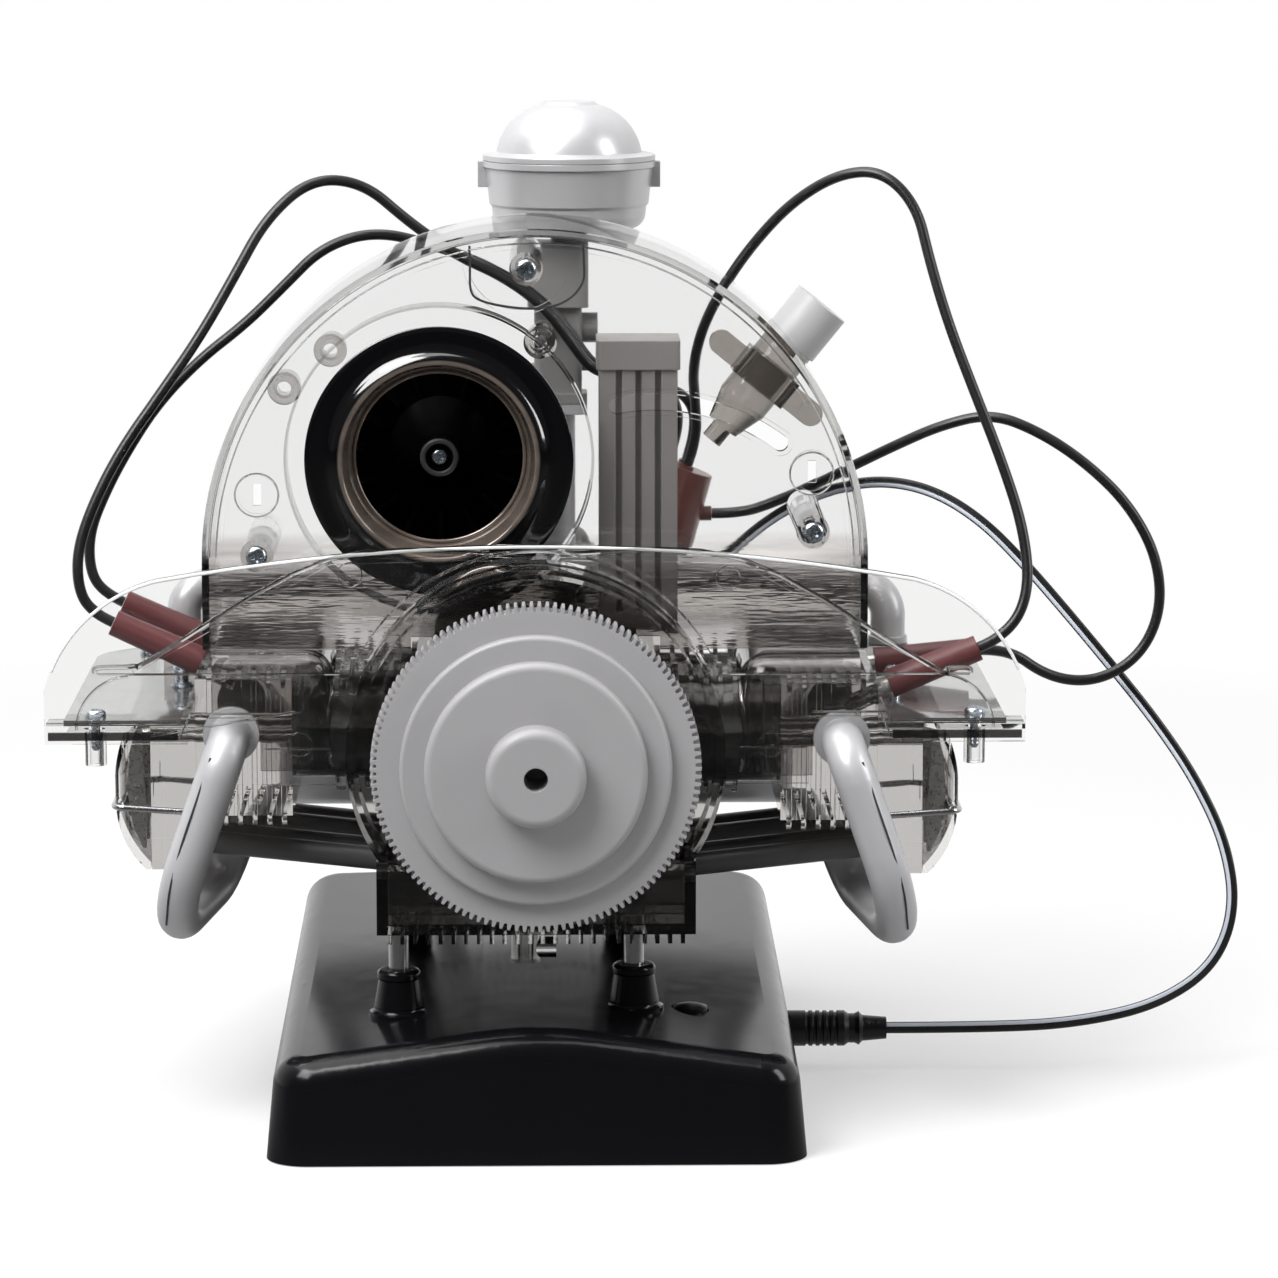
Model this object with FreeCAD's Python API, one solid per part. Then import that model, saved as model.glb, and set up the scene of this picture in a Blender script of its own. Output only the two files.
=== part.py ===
"""A quarter-scale, see-through, air-cooled flat-four engine on a battery base.

Millimetres. X runs across the engine along its cylinders, Y runs from the flywheel (-Y) to the
belt end (+Y), Z is up. The origin is the middle of the base's underside.
"""
import FreeCAD
import Part
import math
import os

Vec = FreeCAD.Vector
X_AXIS = Vec(1, 0, 0)
Y_AXIS = Vec(0, 1, 0)
Z_AXIS = Vec(0, 0, 1)
LEFT = -1
RIGHT = 1

# ---- clearances -------------------------------------------------------------------------------
SHAFT_FIT = 0.08        # radial play of a turning shaft in its bearing
SEAT_GAP = 0.2          # play between pieces that are fixed to each other
MOVING_GAP = 0.4        # room beside a moving piece
SKIRT_GAP = 0.3         # radial play of a piston in its barrel

# ---- base -------------------------------------------------------------------------------------
BASE_LENGTH = 175.0
BASE_WIDTH = 115.0
BASE_CORNER = 9.0
BASE_LEAN = 0.09        # sides lean in by this much per millimetre of height
BASE_FRONT_HEIGHT = 20.5
BASE_BACK_HEIGHT = 29.5
RIDGE_FRONT_HEIGHT = 27.9
RIDGE_BACK_HEIGHT = 30.6
RIDGE_ROUND = 12.0      # half width of the rounded top of the ridge
BASE_EDGE_ROUND = 6.5
BASE_WALL = 2.4
FLOOR_PLATE = 2.5
LID_PLATE = 1.6
LID_HALF_X = 24.0
LID_FRONT = 14.0
LID_BACK = 72.0
CELL_RADIUS = 7.2
CELL_LENGTH = 50.0
CELL_COUNT = 3
CELL_PITCH = 14.8
POST_RADIUS = 2.2
POST_LEFT = -29.8
POST_RIGHT = 21.1
POST_FRONT = -53.6
POST_BACK = 28.0
SOCKET_HEIGHT = 9.6
SOCKET_FOOT_RADIUS = 5.4
SOCKET_TOP_RADIUS = 4.4
SOCKET_LIP = 0.3
SOCKET_FLARE_RADIUS = 6.5
SOCKET_FLARE_HEIGHT = 1.6
BUTTON_X = 33.4
BUTTON_INSET = 37.4     # from the base's front
BUTTON_RADIUS = 3.7
BUTTON_FLANGE_RADIUS = 5.0
BUTTON_FLANGE = 1.2
BUTTON_PROUD = 1.3
BUTTON_DOME = 0.8
BUTTON_TRAVEL = 1.0
BOARD_HALF_X = 42.0
BOARD_INSET = 13.5
BOARD_LENGTH = 48.0
BOARD_Z = 10.0
BOARD_PLATE = 1.6
SWITCH_HEIGHT = 4.4
SPEAKER_RADIUS = 14.0
SPEAKER_HEIGHT = 4.5
SPEAKER_X = -20.0
JACK_Y = -5.0
JACK_Z = 10.2
JACK_RADIUS = 4.9
JACK_BORE = 2.9
JACK_LENGTH = 11.0

# ---- crankcase --------------------------------------------------------------------------------
CRANK_Z = 84.7
CASE_FRONT = -58.0
CASE_BACK = 42.0
CASE_WALL = 2.4
CASE_SIDE = 26.0        # flat side that carries the barrels
CASE_TOP = 106.0
CASE_SHOULDER = 22.0
CASE_LOW_SIDE = 34.0
CASE_LOW_TOP = 62.0
CASE_SIDE_LOW = 70.0
CASE_SIDE_HIGH = 101.0
CASE_BOTTOM = 48.0
BELL_RADIUS = 40.2
BELL_PLATE = 4.0
BELL_RIM_DEPTH = 10.0
BELL_RIM_WALL = 2.0
BELL_BOTTOM = 62.0
BULKHEADS = ((-48.0, -41.0), (-19.0, -11.0), (11.0, 16.0))
SUMP_PLATE = 2.0
SUMP_FIN_HEIGHT = 2.2
SUMP_FIN_WIDTH = 0.9
SUMP_FIN_PITCH = 2.72
SUMP_FRONT = -70.0
POST_PAD_RADIUS = 3.6
DRAIN_X = -2.4
DRAIN_Y = -50.0
DRAIN_RADIUS = 3.2
DRAIN_DROP = 12.0
DRAIN_STUB_RADIUS = 2.3
DRAIN_STUB_END = 4.3

# ---- crank train ------------------------------------------------------------------------------
CRANK_THROW = 6.5
ROD_LENGTH = 26.9
MAIN_RADIUS = 4.0
NOSE_RADIUS = 3.5
PIN_RADIUS = 3.0
WEB_RADIUS = 4.9
ROD_WIDTH = 4.4
BIG_END_RADIUS = 5.0
SMALL_END_RADIUS = 2.0
ROD_HALF_HEIGHT = 1.7
WRIST_PIN_RADIUS = 1.2
WRIST_PIN_HALF = 3.2
WEB_GAP = 0.4           # side play of a big end between its webs
FRONT_CYLINDER_Y = -34.0
CYLINDER_PITCH = 30.0
BANK_OFFSET = 7.5       # the left bank sits this much further back
BORE_RADIUS = 10.5
PISTON_WALL = 1.1
PISTON_CROWN = 2.5
PISTON_SKIRT = 4.0      # from the wrist pin to the open end
RING_GROOVE = 0.4
BOSS_INNER = 4.0        # wrist-pin bosses start this far from the rod's middle
BOSS_RADIUS = 2.6
CRANK_FLANGE_RADIUS = 9.0
CRANK_FLANGE = 3.0

# ---- gears ------------------------------------------------------------------------------------
GEAR_MODULE = 0.7
CRANK_TEETH = 20
CAM_TEETH = 40
PINION_TEETH = 12
ADDENDUM = 0.8          # in modules
DEDENDUM = 1.15         # in modules
PRESSURE_ANGLE = 20.0
BACKLASH = 0.16
GEAR_FRONT = 22.0
GEAR_BACK = 27.0
CAM_SHAFT_RADIUS = 2.5
LOBE_BASE = 3.0
LOBE_NOSE = 1.7
LOBE_LIFT = 2.4
LOBE_WIDTH = 4.0
LOBES = ((-37.5, 0), (-24.5, 90), (-7.0, 180), (5.0, 270))
MOTOR_RADIUS = 6.2
MOTOR_FRONT = 0.0
MOTOR_BACK = 20.5
MOTOR_SHAFT_RADIUS = 1.0

# ---- flywheel ---------------------------------------------------------------------------------
FLYWHEEL_BACK = -80.0
RING_WIDTH = 6.0
RING_TEETH = 130
RING_RADIUS = 34.7
RING_TOOTH_DEPTH = 1.3
STEPS = ((28.5, 2.5, 0.9), (23.3, 3.5, 1.5), (10.5, 6.3, 2.0))   # each step's radius, height and round
HUB_HOLE_RADIUS = 2.5
HUB_HOLE_DEPTH = 14.0

# ---- barrels and heads ------------------------------------------------------------------------
BARREL_WALL = 1.3
BARREL_IN = 23.0
BARREL_OUT = 53.0
BARREL_FINS = 5
BARREL_FIN_FIRST = 30.0
BARREL_FIN_PITCH = 3.2
BARREL_FIN_RADIUS = 14.2
BARREL_FIN_WIDTH = 1.0
SPIGOT_FLANGE = 1.8
HEAD_OUT = 74.0
HEAD_HALF_Y = 31.0
HEAD_TOP = 99.0
HEAD_BOTTOM = 64.0
HEAD_FIN_DEPTH = 2.4
HEAD_FIN_PITCH = 3.2
HEAD_FINS = 6
HEAD_FIN_WIDTH = 1.1
ROCKER_BOX_OUT = 84.0
ROCKER_BOX_TOP = 88.0
ROCKER_BOX_BOTTOM = 54.0
ROCKER_BOX_HALF_Y = 26.0
COVER_OUT = 92.0
COVER_WALL = 1.2
COVER_WAIST_Z = 68.0
COVER_END_ROUND = 3.0
VALVE_Z = 82.7
VALVE_SPREAD = 5.0
VALVE_HEAD_RADIUS = 4.0
STEM_RADIUS = 0.9
SPRING_RADIUS = 2.3
ROCKER_SHAFT_X = 87.5
ROCKER_SHAFT_Z = 71.0
ROCKER_SHAFT_RADIUS = 1.2
ROCKER_WIDTH = 2.6
PUSHROD_IN = (34.2, 55.1)
PUSHROD_OUT = (76.0, 59.6)
PUSHROD_TUBE_RADIUS = 2.5
PUSHROD_SPREAD = 5.5
PLUG_LINES = {          # each plug's inner end and its boot's outer end, across the bank
    "right_front": ((67.2, 89.8), (96.8, 101.9)),
    "left_front": ((66.0, 94.7), (92.5, 106.9)),
    "right_back": ((66.5, 92.8), (97.0, 96.4)),
    "left_back": ((66.0, 94.7), (92.5, 106.9)),
}
PLUG_SPREAD = 1.0
PLUG_RADIUS = 1.9
BOOT_RADIUS = 3.15
BOOT_LENGTH = 21.0
BAIL_RADIUS = 0.7
BAIL_SHARE = 0.17       # part of a bail's end run that its bend takes

# ---- tins -------------------------------------------------------------------------------------
HOOD_IN = 44.0
HOOD_OUT = 70.0
HOOD_TOP = 103.0
HOOD_BOTTOM = 77.0
HOOD_WALL = 1.2
HOOD_ROUND = 6.0
TIN_FRONT = -58.0
TIN_WALL = 1.4
TIN_HALF = 105.0
TIN_LOW = 85.4
TIN_CORNER = 97.0
TIN_TOP = 128.2
TIN_NOTCH_OUT = 74.5
TIN_NOTCH_IN = 58.5
TIN_NOTCH_TOP = 91.0
TIN_FOOT_LOW = 76.4
ARCH_RADIUS = 42.6
ARCH_RIM_WALL = 2.1
ARCH_RIM_DEPTH = 7.0
SHELF_Z = 89.2
SHELF_PLATE = 1.2
SHELF_IN = 86.0
SHELF_DEPTH = 11.0
SIDE_TIN_IN = 76.0
SIDE_TIN_OUT = 101.0
SIDE_TIN_BACK = 46.0
SIDE_TIN_ROUND = 18.0
TIN_SCREW_X = 94.7
TIN_SCREW_FRONT = -50.5
TIN_SCREW_BACK = 34.0
TIN_BOSS_RADIUS = 2.3
TIN_BOSS_DROP = 9.5

# ---- fan shroud -------------------------------------------------------------------------------
SHROUD_RADIUS = 72.0
SHROUD_Z = 122.3
SHROUD_BOTTOM = 103.3
SHROUD_FRONT = -42.0
SHROUD_SPLIT = -19.0
SHROUD_BACK = 4.0
SHROUD_WALL = 1.5
FAN_X = -20.7
FAN_Z = 144.4
INLET_RADIUS = 29.0
INLET_HOLE = 27.5
INLET_THROAT = 18.8
INLET_BACK = -34.5
FAN_RADIUS = 24.0
FAN_EYE = 19.6
FAN_FRONT = -32.5
FAN_BACK = -12.0
FAN_BLADES = 16
FAN_HUB_RADIUS = 4.2
SCREW_RADIUS = 1.1
SCREW_HEAD_RADIUS = 2.3
SCREW_HEAD = 1.4
SHROUD_SCREWS = ((-1.8, 185.7), (-60.1, 123.8), (60.1, 128.7))
SHROUD_BOSSES = ((-53.9, 160.0), (-43.9, 168.2), (1.2, 169.8))
SHROUD_VENTS = ((-59.9, 137.1), (59.8, 141.8))
VENT_RADIUS = 4.8
SLOT_CENTRE = (26.0, 112.0)
SLOT_SWEEP_RADIUS = 45.0
SLOT_FROM = 53.4
SLOT_TO = 100.6
SLOT_HALF = 1.8
SLOT_LIP = 1.0
POCKET_CENTRE = (-3.3, 188.0)
POCKET_RADIUS = 12.2

# ---- cooler, generator and drive --------------------------------------------------------------
COOLER_X = 22.5
COOLER_Y = -24.0
COOLER_WIDTH = 17.0
COOLER_DEPTH = 17.0
COOLER_CAP_WIDTH = 18.2
COOLER_CAP = 6.3
COOLER_TOP = 169.3
COOLER_RIBS = 4
COOLER_GROOVE = 1.3
GENERATOR_RADIUS = 11.3
GENERATOR_BACK = 43.5
GENERATOR_FACE_RADIUS = 13.0
GENERATOR_SHAFT_RADIUS = 1.6
STRAP_FRONT = 33.0
STRAP_BACK = 39.0
STRAP_WALL = 1.2
BELT_Y = 48.0
BELT_HALF_WIDTH = 1.2
BELT_HALF_HEIGHT = 1.1
CRANK_PULLEY_PITCH = 20.3
GENERATOR_PULLEY_PITCH = 11.3
PULLEY_HALF_WIDTH = 2.8
PULLEY_RIM = 1.8        # rim radius beyond the belt's pitch radius

# ---- upper fittings ---------------------------------------------------------------------------
CARB_X = 5.3
CARB_Y = 23.0
CARB_HALF_X = 6.9
CARB_HALF_Y = 7.0
CARB_BOTTOM = 150.0
CARB_WAIST = 172.0
CARB_TOP = 188.0
CLEANER_X = 7.9
CLEANER_BOTTOM = 189.6
CLEANER_RIM_Z = 204.9
CLEANER_RIM_RADIUS = 19.5
CLEANER_TOP = 218.1
MANIFOLD_RADIUS = 3.9
MANIFOLD_Y = 23.5
MANIFOLD_MID_Z = 112.5
MANIFOLD_END_X = 79.6
MANIFOLD_SHOULDER_Z = 108.2
INTAKE_BOSS_HALF = 5.6
INTAKE_BOSS_TOP = 97.0
INTAKE_BOSS_OFFSET = 25.0   # behind the bank's middle
DISTRIBUTOR_FOOT = (24.0, 34.0, 104.5)
DISTRIBUTOR_TILT = 20.0
DISTRIBUTOR_BODY_RADIUS = 4.6
DISTRIBUTOR_CAP_RADIUS = 7.9
DISTRIBUTOR_CAP_START = 14.0
DISTRIBUTOR_CAP_HEIGHT = 17.0
TOWER_RADIUS = 1.7
TOWER_HEIGHT = 1.0
TOWER_SPREAD = 4.3
TOWER_TURNS = (90.0, 180.0, 270.0)
SIDE_TOWER_END = (40.6, 34.0, 122.9)
POWER_CABLE_EXIT = (36.0, 34.0, 110.3)
COIL_MIDDLE = (51.8, 12.0, 157.3)
COIL_TILT = 51.0
COIL_RADIUS = 6.0
COIL_CAP_RADIUS = 6.6
COIL_EAR_SPREAD = 12.8
PUMP_X = 8.0
PUMP_Y = 36.5
PUMP_RADIUS = 5.8

# ---- exhaust ----------------------------------------------------------------------------------
J_PIPE_RADIUS = 4.5
J_TOP = (66.0, 85.0)
J_BOTTOM = (81.0, 42.0)
J_RETURN = (70.5, 46.5)
J_END = (65.0, 62.6)
PORT_FLANGE = 1.6
J_REACH = 15.5          # how far the front leg stands before the head
MUFFLER_RADIUS = 12.0
MUFFLER_HALF = 60.0
MUFFLER_Y = 72.0
MUFFLER_Z = 60.0
MUFFLER_PIPE_RADIUS = 4.0
TAIL_X = 24.0
TAIL_RADIUS = 3.6

# ---- cords ------------------------------------------------------------------------------------
LEAD_RADIUS = 1.2
CABLE_RADIUS = 1.3
RUN_SHARE = 0.45        # part of the shorter run that an arc takes
DC_PLUG_END = 79.2
DC_PLUG_RADIUS = 4.05
PLUG_RIBS = 5           # grooves round the power plug's sleeve
PLUG_RIBS_START = 4.2
PLUG_RIB_STEP = 1.6

# ---- worked out from the sizes above ----------------------------------------------------------
BUTTON_Y = BUTTON_INSET - BASE_LENGTH / 2.0
BOARD_FRONT = BOARD_INSET - BASE_LENGTH / 2.0
BOARD_BACK = BOARD_FRONT + BOARD_LENGTH
CAM_Z = CRANK_Z - GEAR_MODULE * (CRANK_TEETH + CAM_TEETH) / 2.0
PINION_DISTANCE = GEAR_MODULE * (CAM_TEETH + PINION_TEETH) / 2.0
PINION_ANGLE = 90.0 - 12.5 * 360.0 / CAM_TEETH    # a cam-gear tooth points this way
PINION_X = PINION_DISTANCE * math.cos(math.radians(PINION_ANGLE))
PINION_Z = CAM_Z + PINION_DISTANCE * math.sin(math.radians(PINION_ANGLE))
BARREL_RADIUS = BORE_RADIUS + BARREL_WALL
PISTON_RADIUS = BORE_RADIUS - SKIRT_GAP
CAVITY_RADIUS = PISTON_RADIUS - PISTON_WALL
PIN_TO_CROWN = 2 * CRANK_THROW + SMALL_END_RADIUS + 0.6 + PISTON_CROWN
CYLINDERS = {           # bank side, middle along Y, crank pin's side at rest
    "right_front": (RIGHT, FRONT_CYLINDER_Y, RIGHT),
    "left_front": (LEFT, FRONT_CYLINDER_Y + BANK_OFFSET, LEFT),
    "right_back": (RIGHT, FRONT_CYLINDER_Y + CYLINDER_PITCH, LEFT),
    "left_back": (LEFT, FRONT_CYLINDER_Y + CYLINDER_PITCH + BANK_OFFSET, RIGHT),
}
OUTER_PAIR = ("right_front", "left_back")
INNER_PAIR = ("left_front", "right_back")


# ---- shape helpers ----------------------------------------------------------------------------
def box(x0, x1, y0, y1, z0, z1):
    """A block between two corners."""
    return Part.makeBox(x1 - x0, y1 - y0, z1 - z0, Vec(x0, y0, z0))


def bar(start, end, radius):
    """A round bar from one point to another."""
    along = Vec(*end).sub(Vec(*start))
    return Part.makeCylinder(radius, along.Length, Vec(*start), along)


def taper(start, end, radius_a, radius_b):
    """A cone that changes radius from one point to another."""
    along = Vec(*end).sub(Vec(*start))
    return Part.makeCone(radius_a, radius_b, along.Length, Vec(*start), along)


def fuse(shapes):
    """One solid from touching or overlapping shapes."""
    first, rest = shapes[0], shapes[1:]
    return first.fuse(rest).removeSplitter() if rest else first


def group(shapes):
    """Separate solids kept together in one node."""
    return Part.Compound(shapes)


def mirrored(shape, side):
    """The shape itself on the right, or its mirror image on the left."""
    return shape if side == RIGHT else shape.mirror(Vec(0, 0, 0), X_AXIS)


def place_xz(y):
    return lambda a, b: Vec(a, y, b)


def place_xy(z):
    return lambda a, b: Vec(a, b, z)


def outline(place, start, *steps):
    """A closed face of lines and arcs. A step is (a, b), or ((a, b), (a, b)) for an arc."""
    edges = []
    here = start
    for step in steps + (start,):
        if isinstance(step[0], tuple):
            edges.append(Part.Arc(place(*here), place(*step[0]), place(*step[1])).toShape())
            here = step[1]
        elif math.dist(here, step) > 1e-6:
            edges.append(Part.LineSegment(place(*here), place(*step)).toShape())
            here = step
    return Part.Face(Part.Wire(edges))


def prism_xz(y0, y1, start, *steps):
    return outline(place_xz(y0), start, *steps).extrude(Vec(0, y1 - y0, 0))


def prism_xy(z0, z1, start, *steps):
    return outline(place_xy(z0), start, *steps).extrude(Vec(0, 0, z1 - z0))


def turned_x(y, z, start, *steps):
    """Revolve a (station along X, radius) outline about an axis along X."""
    face = outline(lambda a, r: Vec(a, y, z + r), start, *steps)
    return face.revolve(Vec(0, y, z), X_AXIS, 360)


def turned_y(x, z, start, *steps):
    """Revolve a (radius, station along Y) outline about an axis along Y."""
    face = outline(lambda r, a: Vec(x + r, a, z), start, *steps)
    return face.revolve(Vec(x, 0, z), Y_AXIS, 360)


def turned_z(x, y, start, *steps):
    """Revolve a (radius, height) outline about an upright axis."""
    face = outline(lambda r, a: Vec(x + r, y, a), start, *steps)
    return face.revolve(Vec(x, y, 0), Z_AXIS, 360)


def dome(width, base, height):
    """An arc step that closes a turned outline with a round top, flat at the axis."""
    radius = (width ** 2 + height ** 2) / (2.0 * height)
    half = math.asin(width / radius) / 2.0
    return (radius * math.sin(half), base + height - radius * (1.0 - math.cos(half))), (0, base + height)


def disc(x, z, radius, y0, y1):
    """A round plate about an axis along Y."""
    return Part.makeCylinder(radius, y1 - y0, Vec(x, y0, z), Y_AXIS)


def ring(x, z, inner, outer, y0, y1):
    return disc(x, z, outer, y0, y1).cut(disc(x, z, inner, y0 - 1, y1 + 1))


def arc_slot(centre, radius, from_deg, to_deg, half, y0, y1):
    """A curved slot with round ends, as a solid."""
    def at(r, deg):
        turn = math.radians(deg)
        return centre[0] + r * math.cos(turn), centre[1] + r * math.sin(turn)
    middle = (from_deg + to_deg) / 2.0
    end_from, end_to = at(radius, from_deg), at(radius, to_deg)
    beyond = math.degrees(half / radius)
    return prism_xz(
        y0, y1, at(radius - half, from_deg),
        (at(radius, from_deg - beyond), at(radius + half, from_deg)),
        (at(radius + half, middle), at(radius + half, to_deg)),
        (at(radius, to_deg + beyond), at(radius - half, to_deg)),
        (at(radius - half, middle), at(radius - half, from_deg))) if end_from != end_to else None


def hull_of_circles(a, radius_a, b, radius_b, y0, y1):
    """The plate that a belt round two circles would enclose."""
    dx, dz = b[0] - a[0], b[1] - a[1]
    distance = math.hypot(dx, dz)
    heading = math.atan2(dz, dx)
    lean = math.acos((radius_a - radius_b) / distance)

    def on(centre, radius, turn):
        return centre[0] + radius * math.cos(turn), centre[1] + radius * math.sin(turn)
    return prism_xz(
        y0, y1, on(a, radius_a, heading + lean),
        (on(a, radius_a, heading + math.pi), on(a, radius_a, heading - lean)),
        on(b, radius_b, heading - lean),
        (on(b, radius_b, heading), on(b, radius_b, heading + lean)))


def rounded_wire(half_x, half_y, corner, z):
    """An upright view of a rectangle with round corners, at one height."""
    k = corner * (1.0 - math.sqrt(0.5))
    face = outline(
        place_xy(z), (-half_x + corner, -half_y), (half_x - corner, -half_y),
        ((half_x - k, -half_y + k), (half_x, -half_y + corner)), (half_x, half_y - corner),
        ((half_x - k, half_y - k), (half_x - corner, half_y)), (-half_x + corner, half_y),
        ((-half_x + k, half_y - k), (-half_x, half_y - corner)), (-half_x, -half_y + corner),
        ((-half_x + k, -half_y + k), (-half_x + corner, -half_y)))
    return face.OuterWire


def rounded_block(x0, x1, y0, y1, z0, z1, radius, axis):
    """A block whose edges along one axis are rounded."""
    block = box(x0, x1, y0, y1, z0, z1)
    edges = [e for e in block.Edges if abs(abs(e.tangentAt(0).dot(axis)) - 1) < 1e-6]
    return block.makeFillet(radius, edges)


def corner_arcs(points, share=RUN_SHARE):
    """Edges of straight runs joined by tangent arcs, the radii used, and the length."""
    spots = [Vec(*p) for p in points]
    edges, radii = [], []
    here = spots[0]
    for before, corner, after in zip(spots, spots[1:], spots[2:]):
        into = corner.sub(before)
        out = after.sub(corner)
        shorter = min(into.Length, out.Length)
        into.normalize()
        out.normalize()
        turn = into.getAngle(out)
        cut = share * shorter
        radius = cut / math.tan(turn / 2.0)
        start = corner.sub(into * cut)
        end = corner.add(out * cut)
        inward = out.sub(into)
        inward.normalize()
        middle = corner.add(inward * (radius / math.cos(turn / 2.0) - radius))
        edges.append(Part.LineSegment(here, start).toShape())
        edges.append(Part.Arc(start, middle, end).toShape())
        radii.append(radius)
        here = end
    edges.append(Part.LineSegment(here, spots[-1]).toShape())
    return edges, radii, sum(e.Length for e in edges)


def bent_bar(points, radius, share=RUN_SHARE):
    """A round bar along straight runs joined by tangent arcs."""
    edges, _, _ = corner_arcs(points, share)
    return sweep(edges, points, radius)


def sweep(edges, points, radius):
    path = Part.Wire(edges)
    along = Vec(*points[1]).sub(Vec(*points[0]))
    section = Part.Wire([Part.Circle(Vec(*points[0]), along, radius).toShape()])
    return path.makePipeShell([section], True, False)


def cord(name, points, radius):
    """A free cord's plain tube; its smallest radius and its volume are printed as a check."""
    edges, radii, length = corner_arcs(points)
    tube = sweep(edges, points, radius)
    ideal = math.pi * radius ** 2 * length
    print(f"{name}: length {length:.1f}, smallest bend {min(radii):.1f}, "
          f"volume {tube.Volume / ideal:.4f} of ideal, radii {[round(r) for r in radii]}")
    return tube


# ---- gears ------------------------------------------------------------------------------------
def gear_face(teeth, turn_deg):
    """An involute gear's outline about the origin, with a tooth's middle at turn_deg."""
    pitch = GEAR_MODULE * teeth / 2.0
    base = pitch * math.cos(math.radians(PRESSURE_ANGLE))
    tip = pitch + ADDENDUM * GEAR_MODULE
    root = pitch - DEDENDUM * GEAR_MODULE
    half_at_pitch = math.pi / (2 * teeth) - BACKLASH / (2 * pitch)

    def involute(radius):
        ratio = max(1.0, radius / base)
        roll = math.sqrt(ratio ** 2 - 1.0)
        return roll - math.atan(roll)

    def half_angle(radius):
        return half_at_pitch + involute(pitch) - involute(radius)

    flank = [root, max(root + 0.01, base), (pitch + tip) / 2.0, tip]
    points = []
    for tooth in range(teeth):
        middle = math.radians(turn_deg) + 2 * math.pi * tooth / teeth
        for radius in flank:
            turn = middle - half_angle(radius)
            points.append((radius * math.cos(turn), radius * math.sin(turn)))
        for radius in reversed(flank):
            turn = middle + half_angle(radius)
            points.append((radius * math.cos(turn), radius * math.sin(turn)))
    return points


def gear(x, z, teeth, turn_deg, y0, y1):
    points = [(x + a, z + b) for a, b in gear_face(teeth, turn_deg)]
    return prism_xz(y0, y1, points[0], *points[1:])


# ---- base -------------------------------------------------------------------------------------
def deck_height(x, y):
    """Height of the base's top, which slopes up to a soft ridge along its middle."""
    share = (y + BASE_LENGTH / 2.0) / BASE_LENGTH
    side = BASE_FRONT_HEIGHT + share * (BASE_BACK_HEIGHT - BASE_FRONT_HEIGHT)
    ridge = RIDGE_FRONT_HEIGHT + share * (RIDGE_BACK_HEIGHT - RIDGE_FRONT_HEIGHT)
    slope = (ridge - side) / (BASE_WIDTH / 2.0 - RIDGE_ROUND / 2.0)
    if abs(x) < RIDGE_ROUND:
        return ridge - slope * x ** 2 / (2.0 * RIDGE_ROUND)
    return ridge - slope * (abs(x) - RIDGE_ROUND / 2.0)


def roof_block(drop):
    """Everything under the base's top."""
    half_x, half_y = BASE_WIDTH / 2.0 + 0.02, BASE_LENGTH / 2.0 + 0.02
    wires = []
    for y in (-half_y, half_y):
        far = deck_height(half_x, y) - drop
        near = deck_height(RIDGE_ROUND, y) - drop
        wires.append(outline(place_xz(y), (-half_x, -2.0), (half_x, -2.0), (half_x, far),
                             (RIDGE_ROUND, near), ((0, deck_height(0, y) - drop), (-RIDGE_ROUND, near)),
                             (-half_x, far)).OuterWire)
    return Part.makeLoft(wires, True, True)


def base_block(inset, drop, floor):
    """The base's outer form, or its cavity when inset and lowered."""
    high = 40.0
    wires = []
    for z in (floor, high):
        half_x = BASE_WIDTH / 2.0 - inset - BASE_LEAN * z
        half_y = BASE_LENGTH / 2.0 - inset - BASE_LEAN * z
        wires.append(rounded_wire(half_x, half_y, BASE_CORNER - inset, z))
    return Part.makeLoft(wires, True, True).common(roof_block(drop))


def rounded_base():
    block = base_block(0.0, 0.0, 0.0)
    reach_x = BASE_WIDTH / 2.0 - BASE_LEAN * 35.0 - BASE_CORNER
    edges = []
    for edge in block.Edges:
        middle = edge.valueAt((edge.FirstParameter + edge.LastParameter) / 2.0)
        near_side = abs(middle.x) > reach_x or abs(middle.y) > BASE_LENGTH / 2.0 - BASE_CORNER
        upright = abs(edge.tangentAt(edge.FirstParameter).z) > 0.7
        if middle.z > 10.0 and near_side and not upright:
            edges.append(edge)
    return block.makeFillet(BASE_EDGE_ROUND, edges)


def post_spots():
    return [(x, y) for x in (POST_LEFT, POST_RIGHT) for y in (POST_FRONT, POST_BACK)]


def base_shell():
    shell = rounded_base().cut(base_block(BASE_WALL, BASE_WALL, -1.0))
    for x, y in post_spots():
        deck = deck_height(x, y)
        top = deck + SOCKET_HEIGHT
        neck, lip = SOCKET_TOP_RADIUS, SOCKET_TOP_RADIUS + SOCKET_LIP
        shell = shell.fuse(turned_z(
            x, y, (0, deck - BASE_WALL), (SOCKET_FLARE_RADIUS, deck - BASE_WALL),
            (SOCKET_FLARE_RADIUS, deck + 0.2),
            ((SOCKET_FOOT_RADIUS + 0.3, deck + 0.6), (SOCKET_FOOT_RADIUS, deck + SOCKET_FLARE_HEIGHT)),
            (neck, top - 2.2), (lip, top - 1.8), (lip, top - 1.0),
            ((lip - 0.3, top - 0.3), (lip - 1.0, top)), (0, top)))
        shell = shell.cut(bar((x, y, deck), (x, y, top + 1), POST_RADIUS + SEAT_GAP))
    button = bar((BUTTON_X, BUTTON_Y, 15), (BUTTON_X, BUTTON_Y, 40), BUTTON_RADIUS + MOVING_GAP)
    jack = bar((JACK_LENGTH, JACK_Y, JACK_Z), (BASE_WIDTH, JACK_Y, JACK_Z), JACK_RADIUS + SEAT_GAP)
    return shell.cut([button, jack])


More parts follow.
